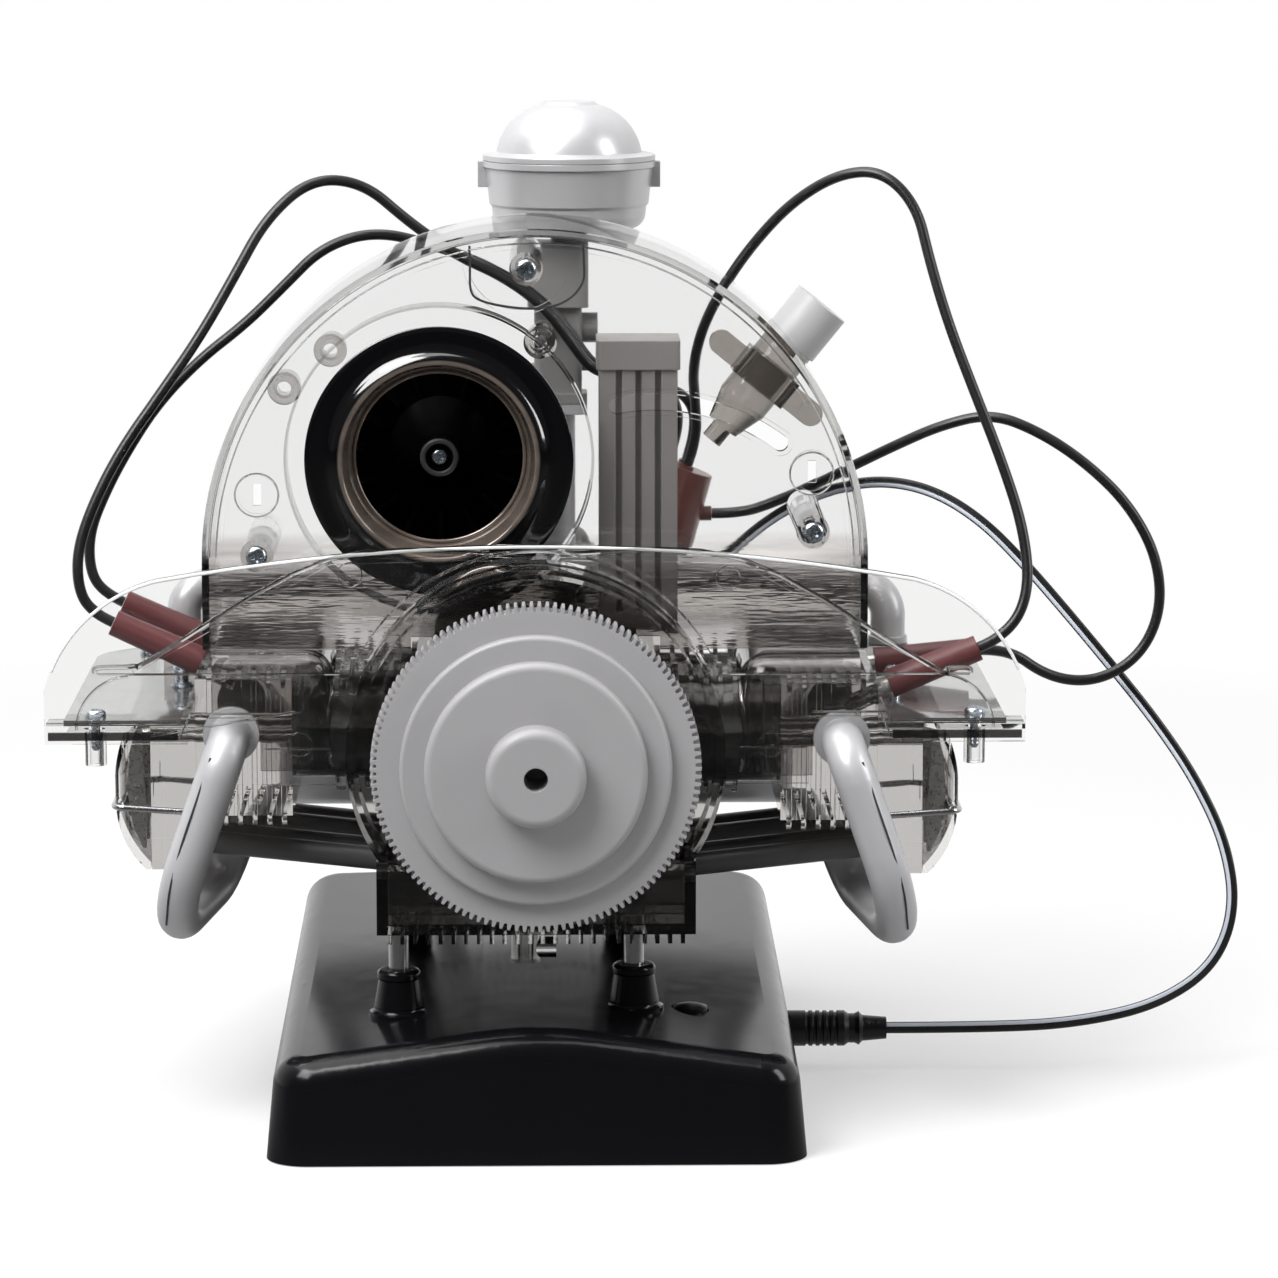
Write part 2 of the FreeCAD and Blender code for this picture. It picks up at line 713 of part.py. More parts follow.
def floor_outline(gap, z0, z1):
    """The floor plate's plan, which follows the shell's leaning inner wall."""
    wires = []
    for z in (z0, z1):
        half_x = BASE_WIDTH / 2.0 - BASE_WALL - gap - BASE_LEAN * z
        half_y = BASE_LENGTH / 2.0 - BASE_WALL - gap - BASE_LEAN * z
        wires.append(rounded_wire(half_x, half_y, BASE_CORNER - BASE_WALL, z))
    return Part.makeLoft(wires, True, True)


def base_plate():
    plate = floor_outline(SEAT_GAP, 0.0, FLOOR_PLATE)
    plate = plate.cut(box(-LID_HALF_X, LID_HALF_X, LID_FRONT, LID_BACK, -1, FLOOR_PLATE + 1))
    pillars = []
    for x in (-BOARD_HALF_X + 4, BOARD_HALF_X - 4):
        for y in (BOARD_FRONT + 4, BOARD_BACK - 4):
            pillars.append(bar((x, y, FLOOR_PLATE - 1), (x, y, BOARD_Z), 2.5))
    for x0 in (-LID_HALF_X - 1.5, LID_HALF_X):
        pillars.append(box(x0, x0 + 1.5, LID_FRONT - 1.5, LID_BACK, 0.5, CELL_RADIUS * 1.6))
    pillars.append(box(-LID_HALF_X, LID_HALF_X, LID_FRONT - 1.5, LID_FRONT, 0.5, CELL_RADIUS * 1.6))
    return plate.fuse(pillars).removeSplitter()


def battery_cover():
    lid = box(-LID_HALF_X + SEAT_GAP, LID_HALF_X - SEAT_GAP, LID_FRONT + SEAT_GAP,
              LID_BACK - SEAT_GAP, 0.0, LID_PLATE)
    for x in (-12.0, -4.0, 4.0, 12.0):
        lid = lid.cut(box(x - 2.5, x + 2.5, LID_BACK - 9.0, LID_BACK - 7.8, -1, 0.6))
    return lid


def battery_cells():
    z = LID_PLATE + SEAT_GAP + CELL_RADIUS
    front = LID_FRONT + 3.0
    cells = []
    for step in range(CELL_COUNT):
        x = (step - (CELL_COUNT - 1) / 2.0) * CELL_PITCH
        nub = bar((x, front + CELL_LENGTH, z), (x, front + CELL_LENGTH + 1.2, z), 2.6)
        cells.append(bar((x, front, z), (x, front + CELL_LENGTH, z), CELL_RADIUS).fuse(nub))
    return group(cells)


def control_board():
    top = BOARD_Z + BOARD_PLATE
    board = box(-BOARD_HALF_X, BOARD_HALF_X, BOARD_FRONT, BOARD_BACK, BOARD_Z, top)
    speaker = taper((SPEAKER_X, BUTTON_Y, top), (SPEAKER_X, BUTTON_Y, top + SPEAKER_HEIGHT),
                    SPEAKER_RADIUS, SPEAKER_RADIUS * 0.8)
    switch = box(BUTTON_X - 3, BUTTON_X + 3, BUTTON_Y - 3, BUTTON_Y + 3, top, top + SWITCH_HEIGHT)
    chip = box(4, 14, BUTTON_Y - 4, BUTTON_Y + 4, top, top + 1.6)
    return board.fuse([speaker, switch, chip])


def power_socket():
    out = BASE_WIDTH / 2.0 - BASE_LEAN * JACK_Z - 0.3
    start = (out - JACK_LENGTH, JACK_Y, JACK_Z)
    body = bar(start, (out, JACK_Y, JACK_Z), JACK_RADIUS)
    bore = bar((out - JACK_LENGTH + 2, JACK_Y, JACK_Z), (out + 1, JACK_Y, JACK_Z), JACK_BORE)
    return body.cut(bore)


def support_posts():
    posts = []
    for x, y in post_spots():
        posts.append(bar((x, y, deck_height(x, y) + SEAT_GAP), (x, y, CASE_BOTTOM - 0.8), POST_RADIUS))
    return group(posts)


def start_button():
    surface = deck_height(BUTTON_X, BUTTON_Y)
    lowest = deck_height(BUTTON_X + BUTTON_FLANGE_RADIUS, BUTTON_Y - BUTTON_FLANGE_RADIUS)
    flange_top = lowest - BASE_WALL - SEAT_GAP
    switch_top = BOARD_Z + BOARD_PLATE + SWITCH_HEIGHT
    at = (BUTTON_X, BUTTON_Y)
    shoulder = surface + BUTTON_PROUD - BUTTON_DOME
    cap = turned_z(BUTTON_X, BUTTON_Y, (0, flange_top), (BUTTON_RADIUS, flange_top),
                   (BUTTON_RADIUS, shoulder), dome(BUTTON_RADIUS, shoulder, BUTTON_DOME))
    flange = bar(at + (flange_top - BUTTON_FLANGE,), at + (flange_top,), BUTTON_FLANGE_RADIUS)
    stem = bar(at + (switch_top + BUTTON_TRAVEL + SEAT_GAP,), at + (flange_top - 0.5,), 1.6)
    return cap.fuse([flange, stem]).removeSplitter()


# ---- crankcase --------------------------------------------------------------------------------
def case_profile(wall):
    """Right half of the case's section across the crank, moved in by a wall."""
    side = CASE_SIDE - wall
    return ((0.0, CASE_BOTTOM - (1.0 if wall else 0.0)),
            (CASE_LOW_SIDE - wall, CASE_BOTTOM - (1.0 if wall else 0.0)),
            (CASE_LOW_SIDE - wall, CASE_LOW_TOP - wall * 0.5), (side, CASE_SIDE_LOW - wall * 0.5),
            (side, CASE_SIDE_HIGH - wall * 0.5), (CASE_SHOULDER - wall * 0.5, CASE_TOP - wall),
            (0.0, CASE_TOP - wall))


def crankcase_half(side):
    profile = case_profile(0.0)
    half = prism_xz(CASE_FRONT, CASE_BACK, profile[0], *profile[1:])
    inner = case_profile(CASE_WALL)
    stations = [CASE_FRONT + CASE_WALL]
    for wall in BULKHEADS:
        stations.extend(wall)
    stations.append(CASE_BACK - CASE_WALL)
    chambers = [prism_xz(a, b, inner[0], *inner[1:]) for a, b in zip(stations[::2], stations[1::2])]
    half = half.cut(chambers)
    keep = box(0, BELL_RADIUS + 1, -100, 0, BELL_BOTTOM, CRANK_Z + BELL_RADIUS + 1)
    plate = disc(0, CRANK_Z, BELL_RADIUS, CASE_FRONT - BELL_PLATE, CASE_FRONT)
    rim = ring(0, CRANK_Z, BELL_RADIUS - BELL_RIM_WALL, BELL_RADIUS,
               CASE_FRONT - BELL_PLATE - BELL_RIM_DEPTH, CASE_FRONT - BELL_PLATE)
    nose = box(0, CASE_LOW_SIDE, SUMP_FRONT, CASE_FRONT, CASE_BOTTOM, BELL_BOTTOM)
    nose_room = box(-1, CASE_LOW_SIDE - CASE_WALL, SUMP_FRONT + CASE_WALL, CASE_FRONT,
                    CASE_BOTTOM - 1, BELL_BOTTOM - CASE_WALL)
    half = half.fuse([plate.fuse(rim).common(keep), nose.cut(nose_room)]).removeSplitter()
    cuts = [disc(0, CRANK_Z, MAIN_RADIUS + SHAFT_FIT, -100, BULKHEADS[-1][1] + 1),
            disc(0, CRANK_Z, NOSE_RADIUS + SHAFT_FIT, 0, CASE_BACK + 1),
            disc(0, CAM_Z, CAM_SHAFT_RADIUS + SHAFT_FIT, BULKHEADS[0][0] - 1, GEAR_FRONT)]
    if side == RIGHT:
        cuts.append(disc(PINION_X, PINION_Z, MOTOR_RADIUS + SEAT_GAP, MOTOR_FRONT, GEAR_FRONT))
    for bank, y, _ in CYLINDERS.values():
        if bank == side:
            pocket = ROD_LENGTH - CRANK_THROW - PISTON_SKIRT - 1.0
            cuts.append(bar((pocket, y, CRANK_Z), (CASE_SIDE + 1, y, CRANK_Z), BARREL_RADIUS + SEAT_GAP))
            for tube_y in pushrod_places(y):
                cuts.append(bar(pushrod_spot(tube_y, -CASE_WALL - 1), pushrod_spot(tube_y, 2.0),
                                PUSHROD_TUBE_RADIUS + SEAT_GAP))
    return mirrored(half.cut(cuts), side)


def sump_cover():
    low = CASE_BOTTOM - SUMP_PLATE
    half = CASE_LOW_SIDE
    plate = box(-half, half, SUMP_FRONT, CASE_BACK, low, CASE_BOTTOM)
    fins = []
    count = int(2 * half / SUMP_FIN_PITCH)
    first = -(count - 1) * SUMP_FIN_PITCH / 2.0
    for step in range(count):
        x = first + step * SUMP_FIN_PITCH
        fins.append(box(x - SUMP_FIN_WIDTH / 2, x + SUMP_FIN_WIDTH / 2, SUMP_FRONT + 1.0,
                        CASE_BACK - 1.0, low - SUMP_FIN_HEIGHT, low))
    pads = [bar((x, y, low - SUMP_FIN_HEIGHT), (x, y, low), POST_PAD_RADIUS) for x, y in post_spots()]
    fins = [fin.cut(pads) for fin in fins]
    drain_low = CASE_BOTTOM - DRAIN_DROP
    stub_z = drain_low + DRAIN_STUB_RADIUS + 0.8
    drain = [bar((DRAIN_X, DRAIN_Y, drain_low), (DRAIN_X, DRAIN_Y, low), DRAIN_RADIUS),
             bar((DRAIN_X, DRAIN_Y, stub_z), (DRAIN_STUB_END, DRAIN_Y, stub_z), DRAIN_STUB_RADIUS),
             bar((0, DRAIN_Y + 30, low - 3), (0, DRAIN_Y + 30, low), 9.0)]
    cover = plate.fuse(fins + pads + drain).removeSplitter()
    holes = [bar((x, y, 0), (x, y, CASE_BOTTOM - 0.6), POST_RADIUS + SEAT_GAP) for x, y in post_spots()]
    return cover.cut(holes)


def drive_motor():
    can = disc(PINION_X, PINION_Z, MOTOR_RADIUS, MOTOR_FRONT, MOTOR_BACK)
    neck = disc(PINION_X, PINION_Z, 2.5, MOTOR_FRONT - 1.5, MOTOR_FRONT)
    tabs = box(PINION_X - 3, PINION_X + 3, MOTOR_FRONT - 2.5, MOTOR_FRONT, PINION_Z - 0.4,
               PINION_Z + 0.4)
    return can.fuse([neck, tabs]).removeSplitter()


# ---- crank train ------------------------------------------------------------------------------
def web(a, b, y0, y1):
    """A crank web that joins two pin centres across the crank."""
    if a == b:
        return disc(a, CRANK_Z, WEB_RADIUS, y0, y1)
    return hull_of_circles((a, CRANK_Z), WEB_RADIUS, (b, CRANK_Z), WEB_RADIUS, y0, y1)


def crankshaft():
    half = ROD_WIDTH / 2.0 + WEB_GAP
    pins = [(side * CRANK_THROW, y) for _, y, side in sorted(CYLINDERS.values(), key=lambda c: c[1])]
    front_web, back_web = BULKHEADS[0][1] + 1.3, BULKHEADS[1][0] - 2.2
    second_web, last_web = BULKHEADS[1][1] + 1.8, BULKHEADS[2][0] - 2.3
    (xa, ya), (xb, yb), (xc, yc), (xd, yd) = pins
    shapes = [
        disc(0, CRANK_Z, CRANK_FLANGE_RADIUS, FLYWHEEL_BACK, FLYWHEEL_BACK + CRANK_FLANGE),
        disc(0, CRANK_Z, MAIN_RADIUS, FLYWHEEL_BACK, front_web),
        web(0, xa, front_web, ya - half),
        disc(xa, CRANK_Z, PIN_RADIUS, ya - half, ya + half),
        web(xa, xb, ya + half, yb - half),
        disc(xb, CRANK_Z, PIN_RADIUS, yb - half, yb + half),
        web(xb, 0, yb + half, back_web),
        disc(0, CRANK_Z, MAIN_RADIUS, back_web, second_web),
        web(0, xc, second_web, yc - half),
        disc(xc, CRANK_Z, PIN_RADIUS, yc - half, yc + half),
        web(xc, xd, yc + half, yd - half),
        disc(xd, CRANK_Z, PIN_RADIUS, yd - half, yd + half),
        web(xd, 0, yd + half, last_web),
        disc(0, CRANK_Z, MAIN_RADIUS, last_web, BULKHEADS[2][1] + 1.0),
        disc(0, CRANK_Z, NOSE_RADIUS, BULKHEADS[2][1], BELT_Y + PULLEY_HALF_WIDTH),
        gear(0, CRANK_Z, CRANK_TEETH, -90.0, GEAR_FRONT, GEAR_BACK)]
    return fuse(shapes)


def flywheel():
    points = []
    tooth = 2 * math.pi / RING_TEETH
    root = RING_RADIUS - RING_TOOTH_DEPTH
    for step in range(RING_TEETH):
        for radius, share in ((root, -0.32), (RING_RADIUS, -0.18), (RING_RADIUS, 0.18), (root, 0.32)):
            turn = tooth * (step + share)
            points.append((radius * math.cos(turn), CRANK_Z + radius * math.sin(turn)))
    front = FLYWHEEL_BACK - RING_WIDTH
    wheel = prism_xz(front, FLYWHEEL_BACK, points[0], *points[1:])
    y = front
    for radius, height, edge in STEPS:
        k = edge * (1.0 - math.sqrt(0.5))
        step = turned_y(0, CRANK_Z, (0, y + 0.5), (radius, y + 0.5), (radius, y - height + edge),
                        ((radius - k, y - height + k), (radius - edge, y - height)), (0, y - height))
        wheel = wheel.fuse(step)
        y -= height
    return wheel.cut(disc(0, CRANK_Z, HUB_HOLE_RADIUS, y - 1, y + HUB_HOLE_DEPTH)).removeSplitter()


def grooved_pulley(x, z, pitch, bore):
    """A pulley whose groove leaves the belt a small gap all round."""
    rim = pitch + PULLEY_RIM
    floor = pitch - BELT_HALF_HEIGHT - SEAT_GAP - 0.1
    low, high = BELT_Y - PULLEY_HALF_WIDTH, BELT_Y + PULLEY_HALF_WIDTH
    groove = BELT_HALF_WIDTH + 0.3
    return turned_y(x, z, (bore, low), (rim, low), (rim, BELT_Y - groove - 0.5),
                    (floor, BELT_Y - groove), (floor, BELT_Y + groove),
                    (rim, BELT_Y + groove + 0.5), (rim, high), (bore, high))


def crank_pulley():
    pulley = grooved_pulley(0, CRANK_Z, CRANK_PULLEY_PITCH, NOSE_RADIUS)
    low = BELT_Y - PULLEY_HALF_WIDTH
    dish = turned_y(0, CRANK_Z, (7.0, low - 1), (CRANK_PULLEY_PITCH - 5, low - 1),
                    (CRANK_PULLEY_PITCH - 5, low + 1.8), (7.0, low + 1.8))
    back = dish.mirror(Vec(0, BELT_Y, 0), Y_AXIS)
    return pulley.cut([dish, back])


def generator_pulley():
    shaft = disc(FAN_X, FAN_Z, GENERATOR_SHAFT_RADIUS, FAN_BACK, BELT_Y + PULLEY_HALF_WIDTH + 2)
    pulley = grooved_pulley(FAN_X, FAN_Z, GENERATOR_PULLEY_PITCH, GENERATOR_SHAFT_RADIUS - 0.2)
    return pulley.fuse(shaft).removeSplitter()


def fan_belt():
    a, b = (0, CRANK_Z), (FAN_X, FAN_Z)
    low, high = BELT_Y - BELT_HALF_WIDTH, BELT_Y + BELT_HALF_WIDTH
    outer = hull_of_circles(a, CRANK_PULLEY_PITCH + BELT_HALF_HEIGHT, b,
                            GENERATOR_PULLEY_PITCH + BELT_HALF_HEIGHT, low, high)
    inner = hull_of_circles(a, CRANK_PULLEY_PITCH - BELT_HALF_HEIGHT, b,
                            GENERATOR_PULLEY_PITCH - BELT_HALF_HEIGHT, low - 1, high + 1)
    return outer.cut(inner)


def camshaft():
    shapes = [disc(0, CAM_Z, CAM_SHAFT_RADIUS, BULKHEADS[0][0] - 3.0, GEAR_BACK + 1.5),
              gear(0, CAM_Z, CAM_TEETH, 90.0 + 180.0 / CAM_TEETH, GEAR_FRONT, GEAR_BACK)]
    for y, turn in LOBES:
        nose = (LOBE_LIFT * math.cos(math.radians(turn)),
                CAM_Z + LOBE_LIFT * math.sin(math.radians(turn)))
        shapes.append(hull_of_circles((0, CAM_Z), LOBE_BASE, nose, LOBE_NOSE,
                                      y - LOBE_WIDTH / 2, y + LOBE_WIDTH / 2))
    return fuse(shapes)


def motor_pinion():
    wheel = gear(PINION_X, PINION_Z, PINION_TEETH, PINION_ANGLE + 180.0 + 180.0 / PINION_TEETH,
                 GEAR_FRONT, GEAR_BACK)
    shaft = disc(PINION_X, PINION_Z, MOTOR_SHAFT_RADIUS, MOTOR_BACK + SEAT_GAP, GEAR_FRONT + 1)
    return wheel.fuse(shaft).removeSplitter()


def connecting_rod(bank, y, pin_side):
    pin = pin_side * CRANK_THROW
    eye = bank * ROD_LENGTH + pin
    half = ROD_WIDTH / 2.0
    start = pin + bank * (BIG_END_RADIUS - 1.0)
    end = eye - bank * 0.5
    beam = box(min(start, end), max(start, end), y - half, y + half,
               CRANK_Z - ROD_HALF_HEIGHT, CRANK_Z + ROD_HALF_HEIGHT)
    grooves = []
    for y0 in (y - half - 1.0, y + 0.7):
        grooves.append(box(min(start, end) + 3.5, max(start, end) - 3.0, y0, y0 + half + 0.3,
                           CRANK_Z - ROD_HALF_HEIGHT + 0.6, CRANK_Z + ROD_HALF_HEIGHT - 0.6))
    rod = fuse([disc(pin, CRANK_Z, BIG_END_RADIUS, y - half, y + half),
                disc(eye, CRANK_Z, SMALL_END_RADIUS, y - half, y + half), beam.cut(grooves),
                disc(eye, CRANK_Z, WRIST_PIN_RADIUS, y - WRIST_PIN_HALF, y + WRIST_PIN_HALF)])
    return rod.cut(disc(pin, CRANK_Z, PIN_RADIUS + SHAFT_FIT, y - half - 1, y + half + 1))


def piston(bank, y, pin_side):
    """A hollow piston, long enough inside for the rod's small end to pass its whole stroke."""
    eye = ROD_LENGTH + bank * pin_side * CRANK_THROW
    mouth = eye - PISTON_SKIRT
    crown = eye + PIN_TO_CROWN
    groove = PISTON_RADIUS - RING_GROOVE
    cup = turned_x(y, CRANK_Z, (mouth, CAVITY_RADIUS), (mouth, PISTON_RADIUS),
                   (crown - 5.6, PISTON_RADIUS), (crown - 5.6, groove), (crown - 4.6, groove),
                   (crown - 4.6, PISTON_RADIUS), (crown - 2.8, PISTON_RADIUS),
                   (crown - 2.8, groove), (crown - 1.8, groove), (crown - 1.8, PISTON_RADIUS),
                   (crown, PISTON_RADIUS), (crown, 0), (crown - PISTON_CROWN, 0),
                   (crown - PISTON_CROWN, CAVITY_RADIUS))
    bosses = []
    for way in (-1, 1):
        bosses.append(bar((eye, y + way * BOSS_INNER, CRANK_Z),
                          (eye, y + way * (CAVITY_RADIUS + 0.3), CRANK_Z), BOSS_RADIUS))
    hole = bar((eye, y - CAVITY_RADIUS, CRANK_Z), (eye, y + CAVITY_RADIUS, CRANK_Z), WRIST_PIN_RADIUS + 0.1)
    return mirrored(cup.fuse(bosses).removeSplitter().cut(hole), bank)


def rods(names):
    return group([connecting_rod(*CYLINDERS[name]) for name in names])


def pistons(names):
    return group([piston(*CYLINDERS[name]) for name in names])


# ---- barrels and heads ------------------------------------------------------------------------
def bank_middle(side):
    return FRONT_CYLINDER_Y + CYLINDER_PITCH / 2.0 + (BANK_OFFSET if side == LEFT else 0.0)


def bank_cylinders(side):
    return [y for bank, y, _ in CYLINDERS.values() if bank == side]


def barrel(side, y):
    points = [(BARREL_IN, BORE_RADIUS), (BARREL_IN, BARREL_RADIUS), (CASE_SIDE + SEAT_GAP, BARREL_RADIUS),
              (CASE_SIDE + SEAT_GAP, BARREL_RADIUS + 1.6),
              (CASE_SIDE + SPIGOT_FLANGE, BARREL_RADIUS + 1.6), (CASE_SIDE + SPIGOT_FLANGE, BARREL_RADIUS)]
    for step in range(BARREL_FINS):
        x = BARREL_FIN_FIRST + step * BARREL_FIN_PITCH
        points.extend([(x, BARREL_RADIUS), (x, BARREL_FIN_RADIUS),
                       (x + BARREL_FIN_WIDTH, BARREL_FIN_RADIUS), (x + BARREL_FIN_WIDTH, BARREL_RADIUS)])
    points.extend([(BARREL_OUT, BARREL_RADIUS), (BARREL_OUT, BORE_RADIUS)])
    return mirrored(turned_x(y, CRANK_Z, points[0], *points[1:]), side)


def barrels():
    return group([barrel(bank, y) for bank, y, _ in CYLINDERS.values()])


def pushrod_places(y):
    """Where a cylinder's two tubes stand along Y."""
    return y - PUSHROD_SPREAD, y + PUSHROD_SPREAD


def pushrod_spot(y, reach):
    """A point on a right-hand tube's axis, so far beyond the crankcase's face along X."""
    rise = (PUSHROD_OUT[1] - PUSHROD_IN[1]) / (PUSHROD_OUT[0] - PUSHROD_IN[0])
    return (PUSHROD_IN[0] + reach, y, PUSHROD_IN[1] + rise * reach)


def pushrod_tubes():
    reach = PUSHROD_OUT[0] - PUSHROD_IN[0]
    tubes = []
    for side in (RIGHT, LEFT):
        for y in bank_cylinders(side):
            for tube_y in pushrod_places(y):
                start = pushrod_spot(tube_y, -CASE_WALL)
                tube = bar(start, pushrod_spot(tube_y, reach), PUSHROD_TUBE_RADIUS)
                tubes.append(mirrored(tube, side))
    return group(tubes)


def plug_length(name):
    return math.dist(*PLUG_LINES[name])


def plug_spot(name, distance):
    """A point along a spark plug's axis, from its inner end."""
    bank, y, _ = CYLINDERS[name]
    (x0, z0), (x1, z1) = PLUG_LINES[name]
    share = distance / plug_length(name)
    return (bank * (x0 + share * (x1 - x0)), y + PLUG_SPREAD, z0 + share * (z1 - z0))


def cylinder_head(side):
    middle = bank_middle(side)
    y0, y1 = middle - HEAD_HALF_Y, middle + HEAD_HALF_Y
    core_bottom = HEAD_BOTTOM + HEAD_FIN_DEPTH
    core = box(BARREL_OUT, HEAD_OUT, y0 + HEAD_FIN_DEPTH, y1 - HEAD_FIN_DEPTH,
               core_bottom, HEAD_TOP - HEAD_FIN_DEPTH)
    shapes = [core]
    for step in range(HEAD_FINS):
        x = BARREL_OUT + 1.2 + step * HEAD_FIN_PITCH
        shapes.append(rounded_block(x, x + HEAD_FIN_WIDTH, y0, y1, HEAD_BOTTOM, HEAD_TOP, 4.0, X_AXIS))
    shapes.append(prism_xz(middle - ROCKER_BOX_HALF_Y, middle + ROCKER_BOX_HALF_Y,
                           (HEAD_OUT, ROCKER_BOX_BOTTOM), (ROCKER_BOX_OUT, ROCKER_BOX_BOTTOM),
                           (ROCKER_BOX_OUT, ROCKER_BOX_TOP), (HEAD_OUT - 3, ROCKER_BOX_TOP),
                           (HEAD_OUT - 3, core_bottom + 2), (HEAD_OUT, core_bottom - 1)))
    boss_y = middle + INTAKE_BOSS_OFFSET
    shapes.append(box(HEAD_OUT - 3, ROCKER_BOX_OUT, boss_y - INTAKE_BOSS_HALF, boss_y + INTAKE_BOSS_HALF,
                      ROCKER_BOX_TOP - 6, INTAKE_BOSS_TOP))
    head = fuse(shapes)
    cuts = []
    for y in bank_cylinders(side):
        for way in (-1, 1):
            valve_y = y + way * VALVE_SPREAD
            cuts.append(bar((BARREL_OUT - 1, valve_y, VALVE_Z), (ROCKER_BOX_OUT + 1, valve_y, VALVE_Z),
                            STEM_RADIUS + 0.15))
        reach = PUSHROD_OUT[0] - PUSHROD_IN[0]
        for tube_y in pushrod_places(y):
            cuts.append(bar(pushrod_spot(tube_y, reach - 6.0), pushrod_spot(tube_y, reach + 0.3),
                            PUSHROD_TUBE_RADIUS + SEAT_GAP))
    head = mirrored(head.cut(cuts), side)
    holes = [bar(plug_spot(name, -0.5), plug_spot(name, 14.0), PLUG_RADIUS + SEAT_GAP)
             for name, cylinder in CYLINDERS.items() if cylinder[0] == side]
    return head.cut(holes)


def spark_plugs():
    plugs = []
    for name in CYLINDERS:
        start = plug_length(name) - BOOT_LENGTH
        plugs.append(bar(plug_spot(name, 0.0), plug_spot(name, start), PLUG_RADIUS))
    return group(plugs)


def plug_boots():
    boots = []
    for name in CYLINDERS:
        tip = plug_length(name)
        boots.append(taper(plug_spot(name, tip - BOOT_LENGTH), plug_spot(name, tip),
                           BOOT_RADIUS + 0.1, BOOT_RADIUS - 0.3))
    return group(boots)


def valve_cover(side):
    middle = bank_middle(side)
    half = ROCKER_BOX_HALF_Y

    def shell(wall):
        top, bottom, out = ROCKER_BOX_TOP - wall, ROCKER_BOX_BOTTOM + wall, COVER_OUT - wall
        start = ROCKER_BOX_OUT + (SEAT_GAP if not wall else -1.0)
        front, back = middle - half + wall, middle + half - wall
        block = prism_xz(front, back, (start, bottom), (start + 1.0, bottom),
                         ((out - 3.0, bottom + 4.8), (out - 0.3, COVER_WAIST_Z - 1.4)),
                         (out - 1.1, COVER_WAIST_Z), (out, COVER_WAIST_Z + 1.5),
                         ((out - 0.6, COVER_WAIST_Z + 10.5), (out - 3.4, top - 1.2)), (start, top))
        ends = rounded_block(start - 20.0, out, front, back, bottom, top, COVER_END_ROUND - wall, Z_AXIS)
        return block.common(ends)
    return mirrored(shell(0.0).cut(shell(COVER_WALL)), side)


def cover_bail(side):
    middle = bank_middle(side)
    half = ROCKER_BOX_HALF_Y + BAIL_RADIUS + SEAT_GAP
    out = COVER_OUT + SEAT_GAP / 2.0
    z = COVER_WAIST_Z
    start = HEAD_OUT + 3.0
    points = [(start, middle - half, z - 1.0), (out, middle - half, z), (out, middle + half, z),
              (start, middle + half, z - 1.0)]
    return mirrored(bent_bar(points, BAIL_RADIUS, BAIL_SHARE), side)


def rocker_set(side):
    """Shafts, rockers, valves and their springs of one bank."""
    pieces = []
    tip = ROCKER_SHAFT_X - 1.5
    for y in bank_cylinders(side):
        span = VALVE_SPREAD + ROCKER_WIDTH / 2.0 + 1.6
        shaft = bar((ROCKER_SHAFT_X, y - span, ROCKER_SHAFT_Z), (ROCKER_SHAFT_X, y + span, ROCKER_SHAFT_Z),
                    ROCKER_SHAFT_RADIUS)
        stand = box(ROCKER_BOX_OUT, ROCKER_SHAFT_X, y - 1.5, y + 1.5, ROCKER_SHAFT_Z - 2.0,
                    ROCKER_SHAFT_Z + 2.0)
        pieces.append(shaft.fuse(stand).removeSplitter())
        for way in (-1, 1):
            arm_y = y + way * VALVE_SPREAD
            low, high = PUSHROD_OUT[1] - 1.6, VALVE_Z + 1.6
            x = ROCKER_SHAFT_X
            arm = prism_xz(arm_y - ROCKER_WIDTH / 2, arm_y + ROCKER_WIDTH / 2, (x - 2.0, low),
                           (x - 1.3, low), (x + 0.8, low + 5.0), (x + 2.0, ROCKER_SHAFT_Z),
                           (x + 1.4, high - 5.0), (x + 0.1, high), (x - 1.2, high),
                           (x - 1.9, ROCKER_SHAFT_Z))
            pieces.append(arm.cut(disc(x, ROCKER_SHAFT_Z, ROCKER_SHAFT_RADIUS + 0.1, arm_y - 3, arm_y + 3)))
            valve = turned_x(arm_y, VALVE_Z, (BARREL_OUT - 0.9, 0), (BARREL_OUT - 0.9, VALVE_HEAD_RADIUS),
                             (BARREL_OUT - 0.1, VALVE_HEAD_RADIUS - 0.6), (BARREL_OUT - 0.1, STEM_RADIUS),
                             (ROCKER_BOX_OUT + 0.1, STEM_RADIUS), (ROCKER_BOX_OUT + 0.1, SPRING_RADIUS),
                             (tip, SPRING_RADIUS), (tip, 0))
            pieces.append(valve)
    return [mirrored(piece, side) for piece in pieces]


